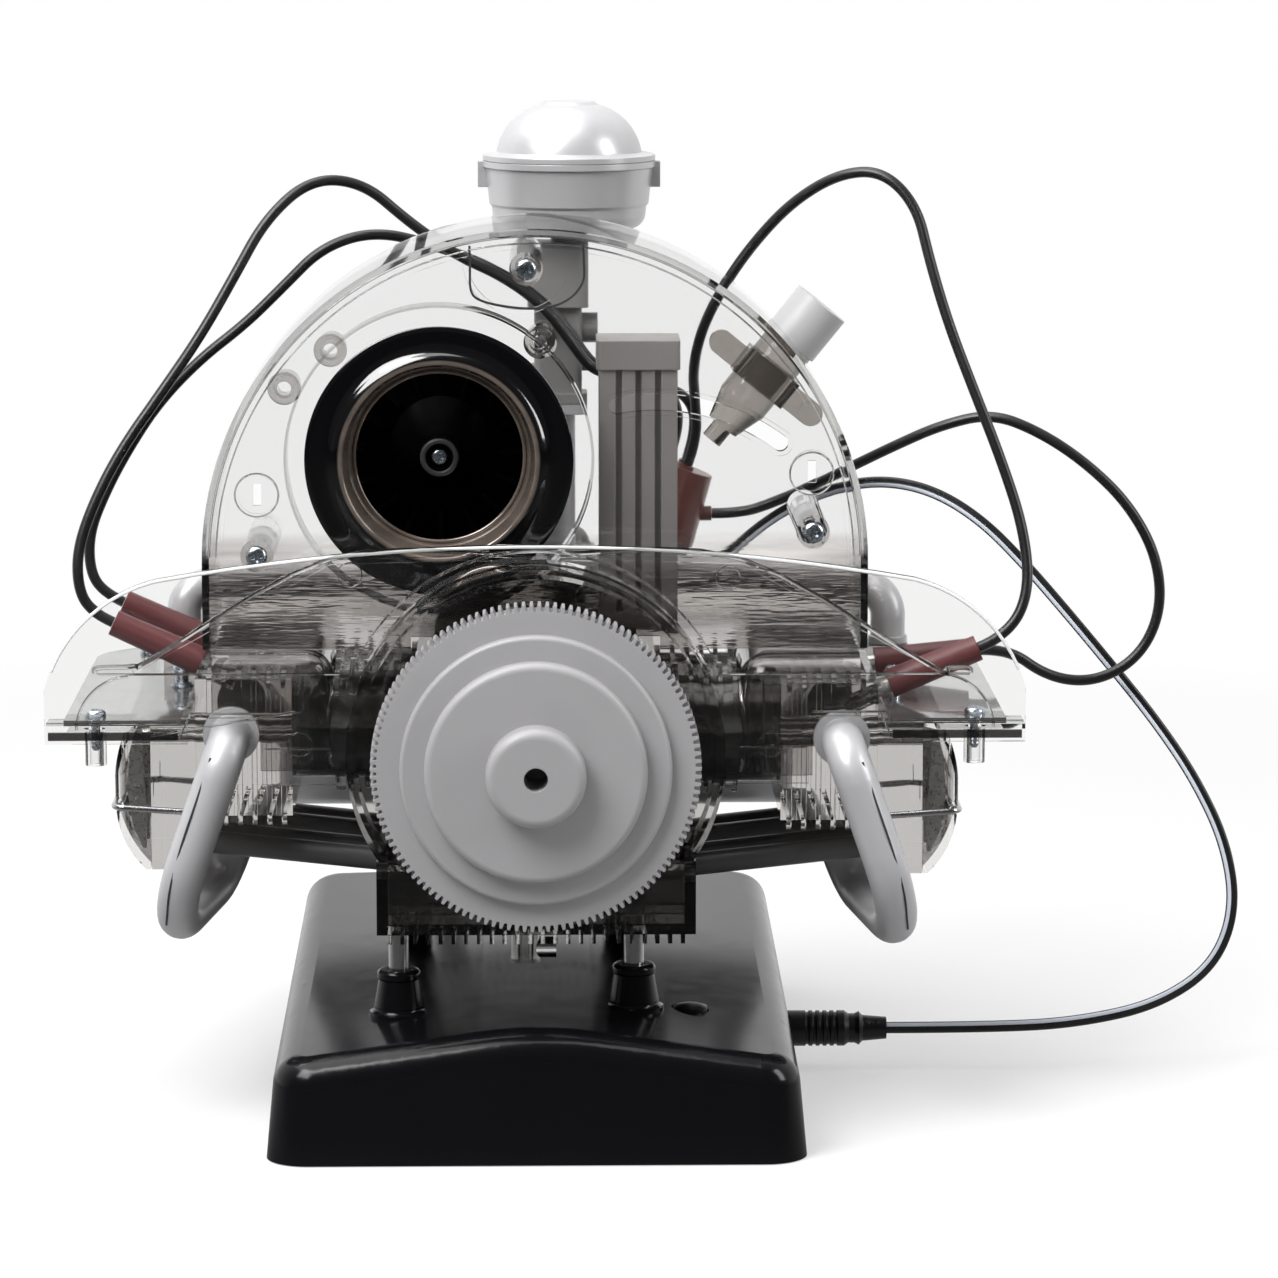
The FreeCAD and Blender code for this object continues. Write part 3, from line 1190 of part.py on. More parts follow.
# ---- tins -------------------------------------------------------------------------------------
def cylinder_hood(side):
    middle = bank_middle(side)
    half = HEAD_HALF_Y + SEAT_GAP + HOOD_WALL

    def block(wall):
        out = HOOD_OUT + (1.0 if wall else 0.0)
        shape = box(HOOD_IN + wall, out, middle - half + wall, middle + half - wall,
                    HOOD_BOTTOM - (1.0 if wall else 0.0), HOOD_TOP - wall)
        edges = []
        for edge in shape.Edges:
            spot = edge.CenterOfMass
            at_top = abs(spot.z - HOOD_TOP + wall) < 0.01 and spot.x < out - 0.01
            upright = abs(spot.x - HOOD_IN - wall) < 0.01 and edge.BoundBox.ZLength > 5
            if at_top or upright:
                edges.append(edge)
        return shape.makeFillet(HOOD_ROUND - wall, edges)
    hood = block(0.0).cut(block(HOOD_WALL))
    holes = [bar((HOOD_IN - 1, y, CRANK_Z), (HOOD_IN + 3, y, CRANK_Z), BARREL_FIN_RADIUS + SEAT_GAP)
             for y in bank_cylinders(side)]
    port = J_PIPE_RADIUS + PORT_FLANGE + SEAT_GAP
    x, z = J_TOP
    holes.append(disc(x, z, port, middle - half - 1, middle + half + 1))
    holes.append(box(x - port, HOOD_OUT + 1, middle - half - 1, middle + half + 1, HOOD_BOTTOM - 1, z))
    return mirrored(hood.cut(holes), side)


def tin_rib(a, b, width, y0, y1):
    dx, dz = b[0] - a[0], b[1] - a[1]
    length = math.hypot(dx, dz)
    nx, nz = -dz / length * width / 2.0, dx / length * width / 2.0
    return prism_xz(y0, y1, (a[0] + nx, a[1] + nz), (b[0] + nx, b[1] + nz), (b[0] - nx, b[1] - nz),
                    (a[0] - nx, a[1] - nz))


def front_tin():
    y0, y1 = TIN_FRONT, TIN_FRONT + TIN_WALL
    inner = ARCH_RADIUS - ARCH_RIM_WALL
    plate = prism_xz(
        y0, y1, (-TIN_HALF, TIN_LOW), (-TIN_NOTCH_OUT, TIN_LOW), (-TIN_NOTCH_OUT, TIN_NOTCH_TOP),
        (-TIN_NOTCH_IN, TIN_NOTCH_TOP), (-TIN_NOTCH_IN, TIN_FOOT_LOW), (TIN_NOTCH_IN, TIN_FOOT_LOW),
        (TIN_NOTCH_IN, TIN_NOTCH_TOP), (TIN_NOTCH_OUT, TIN_NOTCH_TOP), (TIN_NOTCH_OUT, TIN_LOW),
        (TIN_HALF, TIN_LOW), (TIN_HALF, TIN_CORNER), ((98.0, 110.5), (81.0, 121.0)),
        ((0.0, TIN_TOP), (-81.0, 121.0)), ((-98.0, 110.5), (-TIN_HALF, TIN_CORNER)))
    arch_band = disc(0, CRANK_Z, ARCH_RADIUS, y0 - ARCH_RIM_DEPTH + TIN_WALL, y1)
    arch_band = arch_band.fuse(box(-ARCH_RADIUS, ARCH_RADIUS, y0 - ARCH_RIM_DEPTH + TIN_WALL, y1,
                                   TIN_FOOT_LOW, CRANK_Z))
    keep = box(-60, 60, -100, 0, TIN_FOOT_LOW, 140)
    opening = disc(0, CRANK_Z, inner, -100, 0).fuse(box(-inner, inner, -100, 0, 50, CRANK_Z))
    shapes = [arch_band.common(keep)]
    for side in (-1, 1):
        shapes.append(box(min(side * SHELF_IN, side * TIN_HALF), max(side * SHELF_IN, side * TIN_HALF),
                          y0, y0 + SHELF_DEPTH, SHELF_Z - SHELF_PLATE, SHELF_Z))
        x = side * TIN_SCREW_X
        shapes.append(bar((x, TIN_SCREW_FRONT, SHELF_Z - TIN_BOSS_DROP),
                          (x, TIN_SCREW_FRONT, SHELF_Z - 0.5), TIN_BOSS_RADIUS))
        creases = ((86.0, 101.0), (44.0, 124.4), (2.0, 125.6))
        for a, b in zip(creases, creases[1:]):
            shapes.append(tin_rib((side * a[0], a[1]), (side * b[0], b[1]), 1.0, y1 - 0.3, y1 + 0.9))
    tin = plate.fuse(shapes).cut(opening)
    holes = [bar((side * TIN_SCREW_X, TIN_SCREW_FRONT, 60), (side * TIN_SCREW_X, TIN_SCREW_FRONT, 95),
                 SCREW_RADIUS + 0.1) for side in (-1, 1)]
    return tin.cut(holes).removeSplitter()


def side_tin(side):
    y0 = TIN_FRONT + TIN_WALL + SEAT_GAP
    corner = SIDE_TIN_ROUND * (1.0 - math.sqrt(0.5))
    plate = prism_xy(
        SHELF_Z, SHELF_Z + SHELF_PLATE, (SIDE_TIN_IN, y0), (SIDE_TIN_OUT, y0),
        (SIDE_TIN_OUT, SIDE_TIN_BACK - SIDE_TIN_ROUND),
        ((SIDE_TIN_OUT - corner, SIDE_TIN_BACK - corner), (SIDE_TIN_OUT - SIDE_TIN_ROUND, SIDE_TIN_BACK)),
        (SIDE_TIN_IN, SIDE_TIN_BACK))
    boss_y = bank_middle(side) + INTAKE_BOSS_OFFSET
    room = INTAKE_BOSS_HALF + SEAT_GAP
    post = bar((SIDE_TIN_OUT - 12.0, TIN_SCREW_BACK, SHELF_Z - TIN_BOSS_DROP),
               (SIDE_TIN_OUT - 12.0, TIN_SCREW_BACK, SHELF_Z + 0.5), TIN_BOSS_RADIUS)
    plate = plate.fuse(post).removeSplitter()
    holes = [box(SIDE_TIN_IN - 1, ROCKER_BOX_OUT + SEAT_GAP, boss_y - room, boss_y + room, 80, 100)]
    for x, y in ((TIN_SCREW_X, TIN_SCREW_FRONT), (SIDE_TIN_OUT - 12.0, TIN_SCREW_BACK)):
        holes.append(bar((x, y, 60), (x, y, 100), SCREW_RADIUS + 0.1))
    return mirrored(plate.cut(holes), side)


# ---- fan shroud -------------------------------------------------------------------------------
def shroud_block(inset, y0, y1):
    """The shroud's outline, moved in by a wall, with a notch over the crankcase."""
    radius = SHROUD_RADIUS - inset
    low = SHROUD_BOTTOM - (1.0 if inset else 0.0)
    notch = CASE_SIDE + 1.0
    notch_top = CASE_TOP + SEAT_GAP
    return prism_xz(y0, y1, (-radius, low), (-notch, low), (-notch, notch_top), (notch, notch_top),
                    (notch, low), (radius, low), (radius, SHROUD_Z),
                    ((0, SHROUD_Z + radius), (-radius, SHROUD_Z)))


def slot_part(half, y0, y1):
    return arc_slot(SLOT_CENTRE, SLOT_SWEEP_RADIUS, SLOT_FROM, SLOT_TO, half, y0, y1)


def shroud_front():
    y0, y1 = SHROUD_FRONT, SHROUD_FRONT + SHROUD_WALL
    shell = shroud_block(0.0, y0, SHROUD_SPLIT).cut(shroud_block(SHROUD_WALL, y1, SHROUD_SPLIT + 1))
    additions = [slot_part(SLOT_HALF + SLOT_LIP, y0 - 0.8, y1)]
    rim = shroud_block(3.4, y1 - 0.2, y1 + 1.2).cut(shroud_block(4.4, y1 - 1, y1 + 2))
    additions.append(rim.common(box(-80, 80, y0, 0, SHROUD_Z, 200)))
    for x, z in SHROUD_SCREWS:
        additions.append(disc(x, z, 3.6, y0 - 0.8, SHROUD_SPLIT - SEAT_GAP / 2))
    for x, z in SHROUD_BOSSES:
        additions.append(ring(x, z, 1.4, 3.0, y1 - 0.2, y1 + 6.0))
    for x, z in SHROUD_VENTS:
        additions.append(ring(x, z, VENT_RADIUS - 0.7, VENT_RADIUS, y0 - 0.6, y1))
    pocket = ring(*POCKET_CENTRE, POCKET_RADIUS - 1.0, POCKET_RADIUS, y1 - 0.2, y1 + 1.4)
    additions.append(pocket.common(box(-40, 40, y0, 0, 150, POCKET_CENTRE[1])))
    shell = shell.fuse(additions).removeSplitter()
    cuts = [slot_part(SLOT_HALF, y0 - 2, y1 + 1),
            disc(FAN_X, FAN_Z, INLET_HOLE + SEAT_GAP, y0 - 1, y1 + 3)]
    for x, z in SHROUD_VENTS:
        cuts.append(box(x - 0.9, x + 0.9, y0 - 2, y1 + 1, z - 2.4, z + 2.4))
    for x, z in SHROUD_SCREWS:
        cuts.append(disc(x, z, SCREW_RADIUS + 0.1, y0 - 2, SHROUD_SPLIT))
    return shell.cut(cuts)


def shroud_rear():
    y0, y1 = SHROUD_SPLIT, SHROUD_BACK - SHROUD_WALL
    shell = shroud_block(0.0, y0, SHROUD_BACK).cut(shroud_block(SHROUD_WALL, y0 - 1, y1))
    additions = [disc(x, z, 3.6, SHROUD_SPLIT + SEAT_GAP / 2, y1 + 0.2) for x, z in SHROUD_SCREWS]
    shell = shell.fuse(additions).removeSplitter()
    cuts = [disc(FAN_X, FAN_Z, 5.0, y1 - 1, SHROUD_BACK + 1)]
    for x, z in SHROUD_SCREWS:
        cuts.append(disc(x, z, SCREW_RADIUS + 0.1, SHROUD_SPLIT - 1, y1 - 4))
    return shell.cut(cuts)


def fan_inlet_ring():
    y0 = SHROUD_FRONT
    return turned_y(
        FAN_X, FAN_Z, (INLET_HOLE, y0), (INLET_RADIUS, y0), (INLET_RADIUS, y0 - 0.8),
        ((25.6, y0 - 1.9), (22.3, y0 - 0.4)), ((20.0, y0 + 2.9), (INLET_THROAT, INLET_BACK)),
        (INLET_THROAT + 1.3, INLET_BACK), ((21.2, y0 + 3.6), (23.4, y0 + 1.0)),
        ((25.6, y0 + 0.1), (INLET_HOLE, y0 + 1.4)))


def fan():
    shapes = [turned_y(FAN_X, FAN_Z, (0, FAN_BACK), (FAN_RADIUS, FAN_BACK), (FAN_RADIUS, FAN_BACK - 2),
                       (11.0, FAN_BACK - 2), ((6.4, FAN_BACK - 8), (FAN_HUB_RADIUS, FAN_FRONT - 1.5)),
                       (FAN_HUB_RADIUS, FAN_FRONT - 3.5), (2.4, FAN_FRONT - 3.5), (2.4, FAN_FRONT - 2.0),
                       (0, FAN_FRONT - 2.0)),
              ring(FAN_X, FAN_Z, FAN_EYE, FAN_RADIUS, FAN_FRONT, FAN_FRONT + 1.5)]
    for step in range(FAN_BLADES):
        blade = box(13.0, FAN_RADIUS - 0.3, FAN_FRONT + 1.2, FAN_BACK - 1.5, -0.5, 0.5)
        blade = blade.cut(box(12.0, FAN_EYE + 0.4, FAN_FRONT, FAN_FRONT + 5.0, -1, 1))
        blade.rotate(Vec(0, 0, 0), Y_AXIS, step * 360.0 / FAN_BLADES)
        blade.translate(Vec(FAN_X, 0, FAN_Z))
        shapes.append(blade)
    return fuse(shapes)


# ---- fittings ---------------------------------------------------------------------------------
def oil_cooler():
    half, deep = COOLER_WIDTH / 2.0, COOLER_DEPTH / 2.0
    x, y = COOLER_X, COOLER_Y
    low = CASE_TOP + SEAT_GAP
    shoulder = COOLER_TOP - COOLER_CAP
    core = box(x - half, x + half, y - deep, y + deep, low, shoulder + 1)
    pitch = COOLER_WIDTH / COOLER_RIBS
    cuts = []
    for step in range(1, COOLER_RIBS):
        groove_x = x - half + step * pitch
        for y0 in (y - deep - 1, y + deep - 2):
            cuts.append(box(groove_x - COOLER_GROOVE / 2, groove_x + COOLER_GROOVE / 2, y0, y0 + 3,
                            low + 4, shoulder))
    cap_half = COOLER_CAP_WIDTH / 2.0
    cap = rounded_block(x - cap_half, x + cap_half, y - cap_half, y + cap_half, shoulder, COOLER_TOP,
                        1.2, Z_AXIS)
    return core.cut(cuts).fuse(cap).removeSplitter()


def generator_body():
    bore = GENERATOR_SHAFT_RADIUS + SHAFT_FIT
    start = SHROUD_BACK + SEAT_GAP
    radius = GENERATOR_RADIUS
    back = GENERATOR_BACK
    return turned_y(FAN_X, FAN_Z, (bore, start), (GENERATOR_FACE_RADIUS, start),
                    (GENERATOR_FACE_RADIUS, start + 2.4), (radius, start + 3.4), (radius, back - 3.0),
                    (radius - 2.0, back - 1.0), (4.0, back - 1.0), (4.0, back), (bore, back))


def generator_stand():
    foot_left, foot_right = -CASE_SHOULDER + 1.0, -7.0
    low, mid = CASE_TOP + SEAT_GAP / 2, FAN_Z - GENERATOR_RADIUS
    post = prism_xz(STRAP_FRONT - 1, STRAP_BACK + 1, (foot_left, low), (foot_right, low),
                    (foot_right - 3.5, low + 7), (FAN_X + 8.0, mid + 3), (FAN_X - 9.0, mid + 3),
                    (FAN_X - 6.5, low + 9))
    strap = ring(FAN_X, FAN_Z, GENERATOR_RADIUS + SEAT_GAP, GENERATOR_RADIUS + SEAT_GAP + STRAP_WALL,
                 STRAP_FRONT, STRAP_BACK)
    middle = (STRAP_FRONT + STRAP_BACK) / 2.0
    neck = bar((FAN_X - 4.0, middle, low + 11), (FAN_X - 17.5, middle, low + 26), 3.0)
    cap = bar((FAN_X - 17.0, middle, low + 25.5), (FAN_X - 19.7, middle, low + 28.5), 4.2)
    clear = disc(FAN_X, FAN_Z, GENERATOR_RADIUS + SEAT_GAP, 0, 60)
    return fuse([post.fuse(strap).cut(clear), neck.cut(clear), cap])


def carburettor_flange(z0, z1):
    return rounded_block(CARB_X - 6.6, CARB_X + 6.6, CARB_Y - 6.0, CARB_Y + 6.0, z0, z1, 2.0, Z_AXIS)


def carburettor():
    x, y = CARB_X, CARB_Y
    bowl = rounded_block(x - CARB_HALF_X, x + CARB_HALF_X, y - CARB_HALF_Y, y + CARB_HALF_Y,
                         CARB_WAIST, CARB_TOP - 1.5, 2.2, Z_AXIS)
    waist = rounded_block(x - 5.4, x + 5.4, y - 5.4, y + 5.4, CARB_BOTTOM + 2.4, CARB_WAIST, 1.6, Z_AXIS)
    flange = carburettor_flange(CARB_BOTTOM, CARB_BOTTOM + 2.4)
    horn = bar((CLEANER_X, y, CARB_TOP - 2.0), (CLEANER_X, y, CLEANER_BOTTOM - SEAT_GAP / 2), 4.2)
    spindle = bar((x - 8.5, y, CARB_BOTTOM + 8), (x + 8.5, y, CARB_BOTTOM + 8), 0.9)
    lever = box(x - 8.5, x - 7.4, y - 1.5, y + 6.0, CARB_BOTTOM + 6.8, CARB_BOTTOM + 9.2)
    screw_a = bar((x - 3.4, y - 7.0, CARB_BOTTOM + 17), (x - 3.4, y - 5.0, CARB_BOTTOM + 17), 2.2)
    choke = bar((x + 5.0, y, CARB_BOTTOM + 17), (x + 9.0, y, CARB_BOTTOM + 17), 3.4)
    return fuse([bowl, waist, flange, horn, spindle, lever, screw_a, choke])


def air_cleaner_bowl():
    z, rim = CLEANER_BOTTOM, CLEANER_RIM_Z
    bowl = turned_z(CLEANER_X, CARB_Y, (0, z), (13.0, z), ((16.2, z + 0.9), (17.3, z + 3.2)),
                    (17.5, z + 5.0), (18.0, z + 5.6), (18.9, rim - 1.6), (CLEANER_RIM_RADIUS, rim - 1.4),
                    (CLEANER_RIM_RADIUS, rim), (0, rim))
    lugs = []
    for way in (-1, 1):
        x0, x1 = sorted((CLEANER_X + way * 18.0, CLEANER_X + way * 20.6))
        lugs.append(box(x0, x1, CARB_Y - 1.6, CARB_Y + 1.6, rim - 6.0, rim - 0.2))
    return bowl.fuse(lugs).removeSplitter()


def air_cleaner_lid():
    rim = CLEANER_RIM_Z + 0.1
    return turned_z(CLEANER_X, CARB_Y, (0, rim), (CLEANER_RIM_RADIUS, rim),
                    (CLEANER_RIM_RADIUS, rim + 1.2), (16.4, rim + 1.9),
                    ((13.6, rim + 8.0), (6.6, CLEANER_TOP - 0.7)), (5.6, CLEANER_TOP), (0, CLEANER_TOP))


def intake_manifold():
    arms = []
    for side in (RIGHT, LEFT):
        end_y = bank_middle(side) + INTAKE_BOSS_OFFSET
        points = [(0, MANIFOLD_Y, MANIFOLD_MID_Z), (side * 56.0, MANIFOLD_Y, MANIFOLD_SHOULDER_Z + 1.5),
                  (side * MANIFOLD_END_X, end_y, MANIFOLD_SHOULDER_Z + 0.8),
                  (side * MANIFOLD_END_X, end_y, INTAKE_BOSS_TOP + SEAT_GAP / 2)]
        arms.append(bent_bar(points, MANIFOLD_RADIUS, 0.48))
        foot = INTAKE_BOSS_TOP + SEAT_GAP / 2
        arms.append(bar((side * MANIFOLD_END_X, end_y, foot), (side * MANIFOLD_END_X, end_y, foot + 1.6),
                        MANIFOLD_RADIUS + 0.5))
    top = CARB_BOTTOM - SEAT_GAP / 2
    riser = bar((CARB_X, MANIFOLD_Y, MANIFOLD_MID_Z - 1), (CARB_X, CARB_Y, top - 2), MANIFOLD_RADIUS)
    flange = carburettor_flange(top - 2.2, top)
    return fuse(arms + [riser, flange])


def distributor_spot(distance):
    """A point up the distributor's shaft, which leans to the right of upright."""
    x, y, z = DISTRIBUTOR_FOOT
    turn = math.radians(DISTRIBUTOR_TILT)
    return (x + distance * math.sin(turn), y, z + distance * math.cos(turn))


def distributor_body():
    foot = taper(distributor_spot(1.0), distributor_spot(DISTRIBUTOR_CAP_START - 3.0), 3.4,
                 DISTRIBUTOR_BODY_RADIUS)
    rim = DISTRIBUTOR_CAP_START - SEAT_GAP
    pot = bar(distributor_spot(rim - 3.3), distributor_spot(rim), DISTRIBUTOR_CAP_RADIUS - 0.6)
    x, y, _ = DISTRIBUTOR_FOOT
    clamp = box(x - 6.0, x - 1.5, y - 4.0, y + 4.0, CASE_TOP + 0.05, CASE_TOP + 1.8)
    gland = bar(distributor_spot(3.5), POWER_CABLE_EXIT, CABLE_RADIUS + 0.8)
    body = fuse([foot, pot, clamp, gland])
    case = prism_xz(CASE_FRONT, CASE_BACK, *[(x, z + 0.06) for x, z in case_profile(0.0)])
    return body.cut(case)


def distributor_cap():
    start = DISTRIBUTOR_CAP_START
    top = start + DISTRIBUTOR_CAP_HEIGHT
    pieces = [taper(distributor_spot(start), distributor_spot(top), DISTRIBUTOR_CAP_RADIUS,
                    DISTRIBUTOR_CAP_RADIUS - 1.3),
              bar(distributor_spot(top - 2), distributor_spot(top + 0.6), 1.8),
              bar((DISTRIBUTOR_FOOT[0] + 8.0, DISTRIBUTOR_FOOT[1], SIDE_TOWER_END[2]), SIDE_TOWER_END,
                  TOWER_RADIUS)]
    for turn in TOWER_TURNS:
        lift = math.radians(turn)
        aside = TOWER_SPREAD * math.cos(lift)
        lean = math.radians(DISTRIBUTOR_TILT)
        shift = Vec(aside * math.cos(lean), TOWER_SPREAD * math.sin(lift), -aside * math.sin(lean))
        tower = bar(distributor_spot(top - 2), distributor_spot(top + TOWER_HEIGHT), TOWER_RADIUS)
        tower.translate(shift)
        pieces.append(tower)
    return fuse(pieces)


def coil_spot(distance):
    x, y, z = COIL_MIDDLE
    turn = math.radians(COIL_TILT)
    return (x + distance * math.cos(turn), y, z + distance * math.sin(turn))


def ignition_coil():
    case = fuse([bar(coil_spot(-8.0), coil_spot(9.0), COIL_RADIUS),
                 bar(coil_spot(9.0), coil_spot(20.5), COIL_CAP_RADIUS),
                 taper(coil_spot(-15.0), coil_spot(-8.0), 3.8, COIL_RADIUS),
                 bar(coil_spot(-19.0), coil_spot(-15.0), 2.4)])
    y0 = SHROUD_BACK + 0.1
    across = math.radians(COIL_TILT + 90.0)
    x, _, z = coil_spot(0)
    ears = []
    for way in (-1, 1):
        dx = way * COIL_EAR_SPREAD * math.cos(across)
        dz = way * COIL_EAR_SPREAD * math.sin(across)
        ears.append((x + dx, z + dz))
    plate = hull_of_circles(ears[0], 2.8, ears[1], 2.8, y0, y0 + 1.6)
    band = bar(coil_spot(-3.5), coil_spot(3.5), COIL_RADIUS + 1.2)
    saddle = box(-3.4, 3.4, y0 + 0.6, COIL_MIDDLE[1], -7.0, 7.0)
    saddle.rotate(Vec(0, 0, 0), Y_AXIS, -COIL_TILT)
    saddle.translate(Vec(x, 0, z))
    hole = bar(coil_spot(-30), coil_spot(30), COIL_RADIUS + 0.05)
    bosses = [disc(ear[0], ear[1], 2.6, y0, y0 + 3.2) for ear in ears]
    bracket = fuse([plate, saddle.fuse(band)] + bosses).cut(hole)
    return group([case, bracket])


def fuel_pump():
    low = CASE_TOP + SEAT_GAP / 2
    x, y = PUMP_X, PUMP_Y
    return fuse([turned_z(x, y, (0, low), (3.6, low), (3.6, low + 4), (PUMP_RADIUS, low + 6.0),
                          (PUMP_RADIUS, low + 9.0), (PUMP_RADIUS - 1.2, low + 10.0),
                          dome(PUMP_RADIUS - 1.2, low + 10.0, 4.0)),
                 box(x - 6.5, x + 6.5, y - 3.4, y + 3.4, low, low + 1.6),
                 bar((x - 9.0, y, low + 7.6), (x, y, low + 7.6), 1.1)])


# ---- exhaust ----------------------------------------------------------------------------------
def j_pipe(side):
    face = bank_middle(side) - HEAD_HALF_Y - SEAT_GAP / 2
    front = face - J_REACH
    back = bank_middle(side)
    points = [(J_TOP[0], face, J_TOP[1]), (J_TOP[0], front, J_TOP[1]), (J_BOTTOM[0], front, J_BOTTOM[1]),
              (J_RETURN[0], back, J_RETURN[1]), (J_END[0], back, J_END[1])]
    pipe = bent_bar(points, J_PIPE_RADIUS, 0.46)
    flange = disc(*J_TOP, J_PIPE_RADIUS + PORT_FLANGE, face - PORT_FLANGE, face)
    return mirrored(pipe.fuse(flange).removeSplitter(), side)


def muffler():
    r, half = MUFFLER_RADIUS, MUFFLER_HALF
    drum = turned_x(MUFFLER_Y, MUFFLER_Z, (-half, 0), (-half, r - 3.0),
                    ((-half + 0.9, r - 0.9), (-half + 3.0, r)), (half - 3.0, r),
                    ((half - 0.9, r - 0.9), (half, r - 3.0)), (half, 0))
    shapes = [drum]
    for side in (RIGHT, LEFT):
        face = bank_middle(side) + HEAD_HALF_Y + SEAT_GAP / 2
        x = side * J_TOP[0]
        inside = side * (MUFFLER_HALF - 8.0)
        points = [(x, face, J_TOP[1]), (x, MUFFLER_Y - 26.0, J_TOP[1]),
                  (inside, MUFFLER_Y - 4.0, MUFFLER_Z + 2.0)]
        shapes.append(bent_bar(points, MUFFLER_PIPE_RADIUS))
        shapes.append(disc(x, J_TOP[1], MUFFLER_PIPE_RADIUS + PORT_FLANGE, face, face + PORT_FLANGE))
        x = side * TAIL_X
        tail = [(x, MUFFLER_Y, MUFFLER_Z - 6.0), (x, MUFFLER_Y + 14.0, MUFFLER_Z - 9.0),
                (x, MUFFLER_Y + 24.0, MUFFLER_Z - 16.0)]
        shapes.append(bent_bar(tail, TAIL_RADIUS))
    body = fuse(shapes)
    for side in (RIGHT, LEFT):
        end = Vec(side * TAIL_X, MUFFLER_Y + 24.0, MUFFLER_Z - 16.0)
        inward = Vec(0, -10.0, 7.0)
        body = body.cut(Part.makeCylinder(TAIL_RADIUS - 0.9, 7.0, end, inward))
    return body


# ---- fasteners --------------------------------------------------------------------------------
def screws():
    items = []
    for x, z in SHROUD_SCREWS:
        face = SHROUD_FRONT - 0.8
        head = taper((x, face, z), (x, face - SCREW_HEAD, z), SCREW_HEAD_RADIUS, SCREW_HEAD_RADIUS * 0.7)
        items.append(head.fuse(disc(x, z, SCREW_RADIUS, face - 0.1, SHROUD_SPLIT + 8.0)))
    top = SHELF_Z + SHELF_PLATE
    for side in (-1, 1):
        for x, y in ((side * TIN_SCREW_X, TIN_SCREW_FRONT), (side * (SIDE_TIN_OUT - 12.0), TIN_SCREW_BACK)):
            head = taper((x, y, top), (x, y, top + SCREW_HEAD), SCREW_HEAD_RADIUS, SCREW_HEAD_RADIUS * 0.7)
            items.append(head.fuse(bar((x, y, top - 7.5), (x, y, top + 0.1), SCREW_RADIUS)))
    return group(items)


# ---- cords ------------------------------------------------------------------------------------
LEAD_LEFT_FRONT = (
    (-92.59, -25.5, 106.94), (-96.8, -25.45, 108.9), (-100.1, -25.0, 113.5), (-100.5, -23.4, 122.3),
    (-97.0, -21.2, 132.5), (-91.0, -18.0, 144.0), (-82.0, -14.0, 156.5), (-73.6, -10.5, 168.5),
    (-66.4, -6.5, 181.0), (-59.5, -2.0, 193.5), (-49.5, 2.0, 202.2), (-38.0, 6.0, 201.0),
    (-28.0, 8.2, 192.0), (-17.5, 8.8, 184.6), (-6.5, 8.8, 179.6), (2.4, 8.8, 172.8),
    (8.0, 8.8, 165.4), (12.9, 10.5, 158.2), (20.9, 17.5, 156.4), (26.8, 23.8, 155.2),
    (31.6, 29.5, 151.2), (33.5, 34.0, 143.2), (30.94, 34.0, 136.14))
LEAD_LEFT_BACK = (
    (-92.59, 4.5, 106.94), (-96.8, 4.55, 108.9), (-100.1, 4.9, 113.5), (-100.3, 5.8, 122.3),
    (-96.6, 6.7, 131.5), (-91.6, 7.5, 140.8), (-84.5, 8.0, 151.6), (-75.0, 8.4, 161.4),
    (-64.8, 9.0, 169.2), (-56.2, 9.6, 177.6), (-47.6, 10.4, 186.2), (-36.0, 11.4, 189.8),
    (-23.0, 12.4, 186.8), (-11.0, 12.4, 182.2), (-1.0, 12.4, 176.4), (7.0, 12.4, 168.6),
    (12.6, 14.0, 159.6), (19.0, 21.5, 155.4), (25.5, 28.8, 153.0), (34.4, 36.0, 151.0),
    (37.82, 38.3, 143.38), (34.98, 38.3, 134.68))
LEAD_RIGHT_FRONT = (
    (34.98, 29.7, 134.68), (37.2, 29.7, 140.8), (36.6, 26.0, 149.5), (35.8, 19.0, 158.0),
    (37.6, 13.4, 167.4), (42.2, 11.0, 177.0), (49.0, 9.4, 187.0), (57.5, 5.4, 196.6),
    (67.5, 0.0, 203.2), (77.0, -4.4, 204.2), (84.4, -8.0, 196.8), (87.2, -11.4, 184.6),
    (91.2, -14.8, 171.0), (96.6, -18.6, 156.8), (102.4, -22.6, 142.0), (107.2, -26.8, 127.0),
    (108.2, -30.6, 113.6), (103.4, -32.7, 104.6), (96.89, -33.0, 101.94))
LEAD_RIGHT_BACK = (
    (40.7, 34.0, 122.9), (47.6, 33.6, 122.9), (55.0, 31.4, 125.8), (63.0, 27.6, 129.8),
    (71.8, 22.4, 134.8), (81.2, 17.0, 140.2), (91.6, 12.0, 145.6), (103.0, 8.2, 148.8),
    (114.0, 5.4, 144.6), (124.4, 3.6, 137.6), (133.6, 2.4, 128.6), (140.0, 2.0, 117.0),
    (141.2, 2.0, 104.6), (136.4, 1.4, 94.2), (126.6, 0.4, 88.6), (115.6, -1.0, 89.8),
    (105.4, -2.6, 97.4), (97.09, -3.0, 96.41))
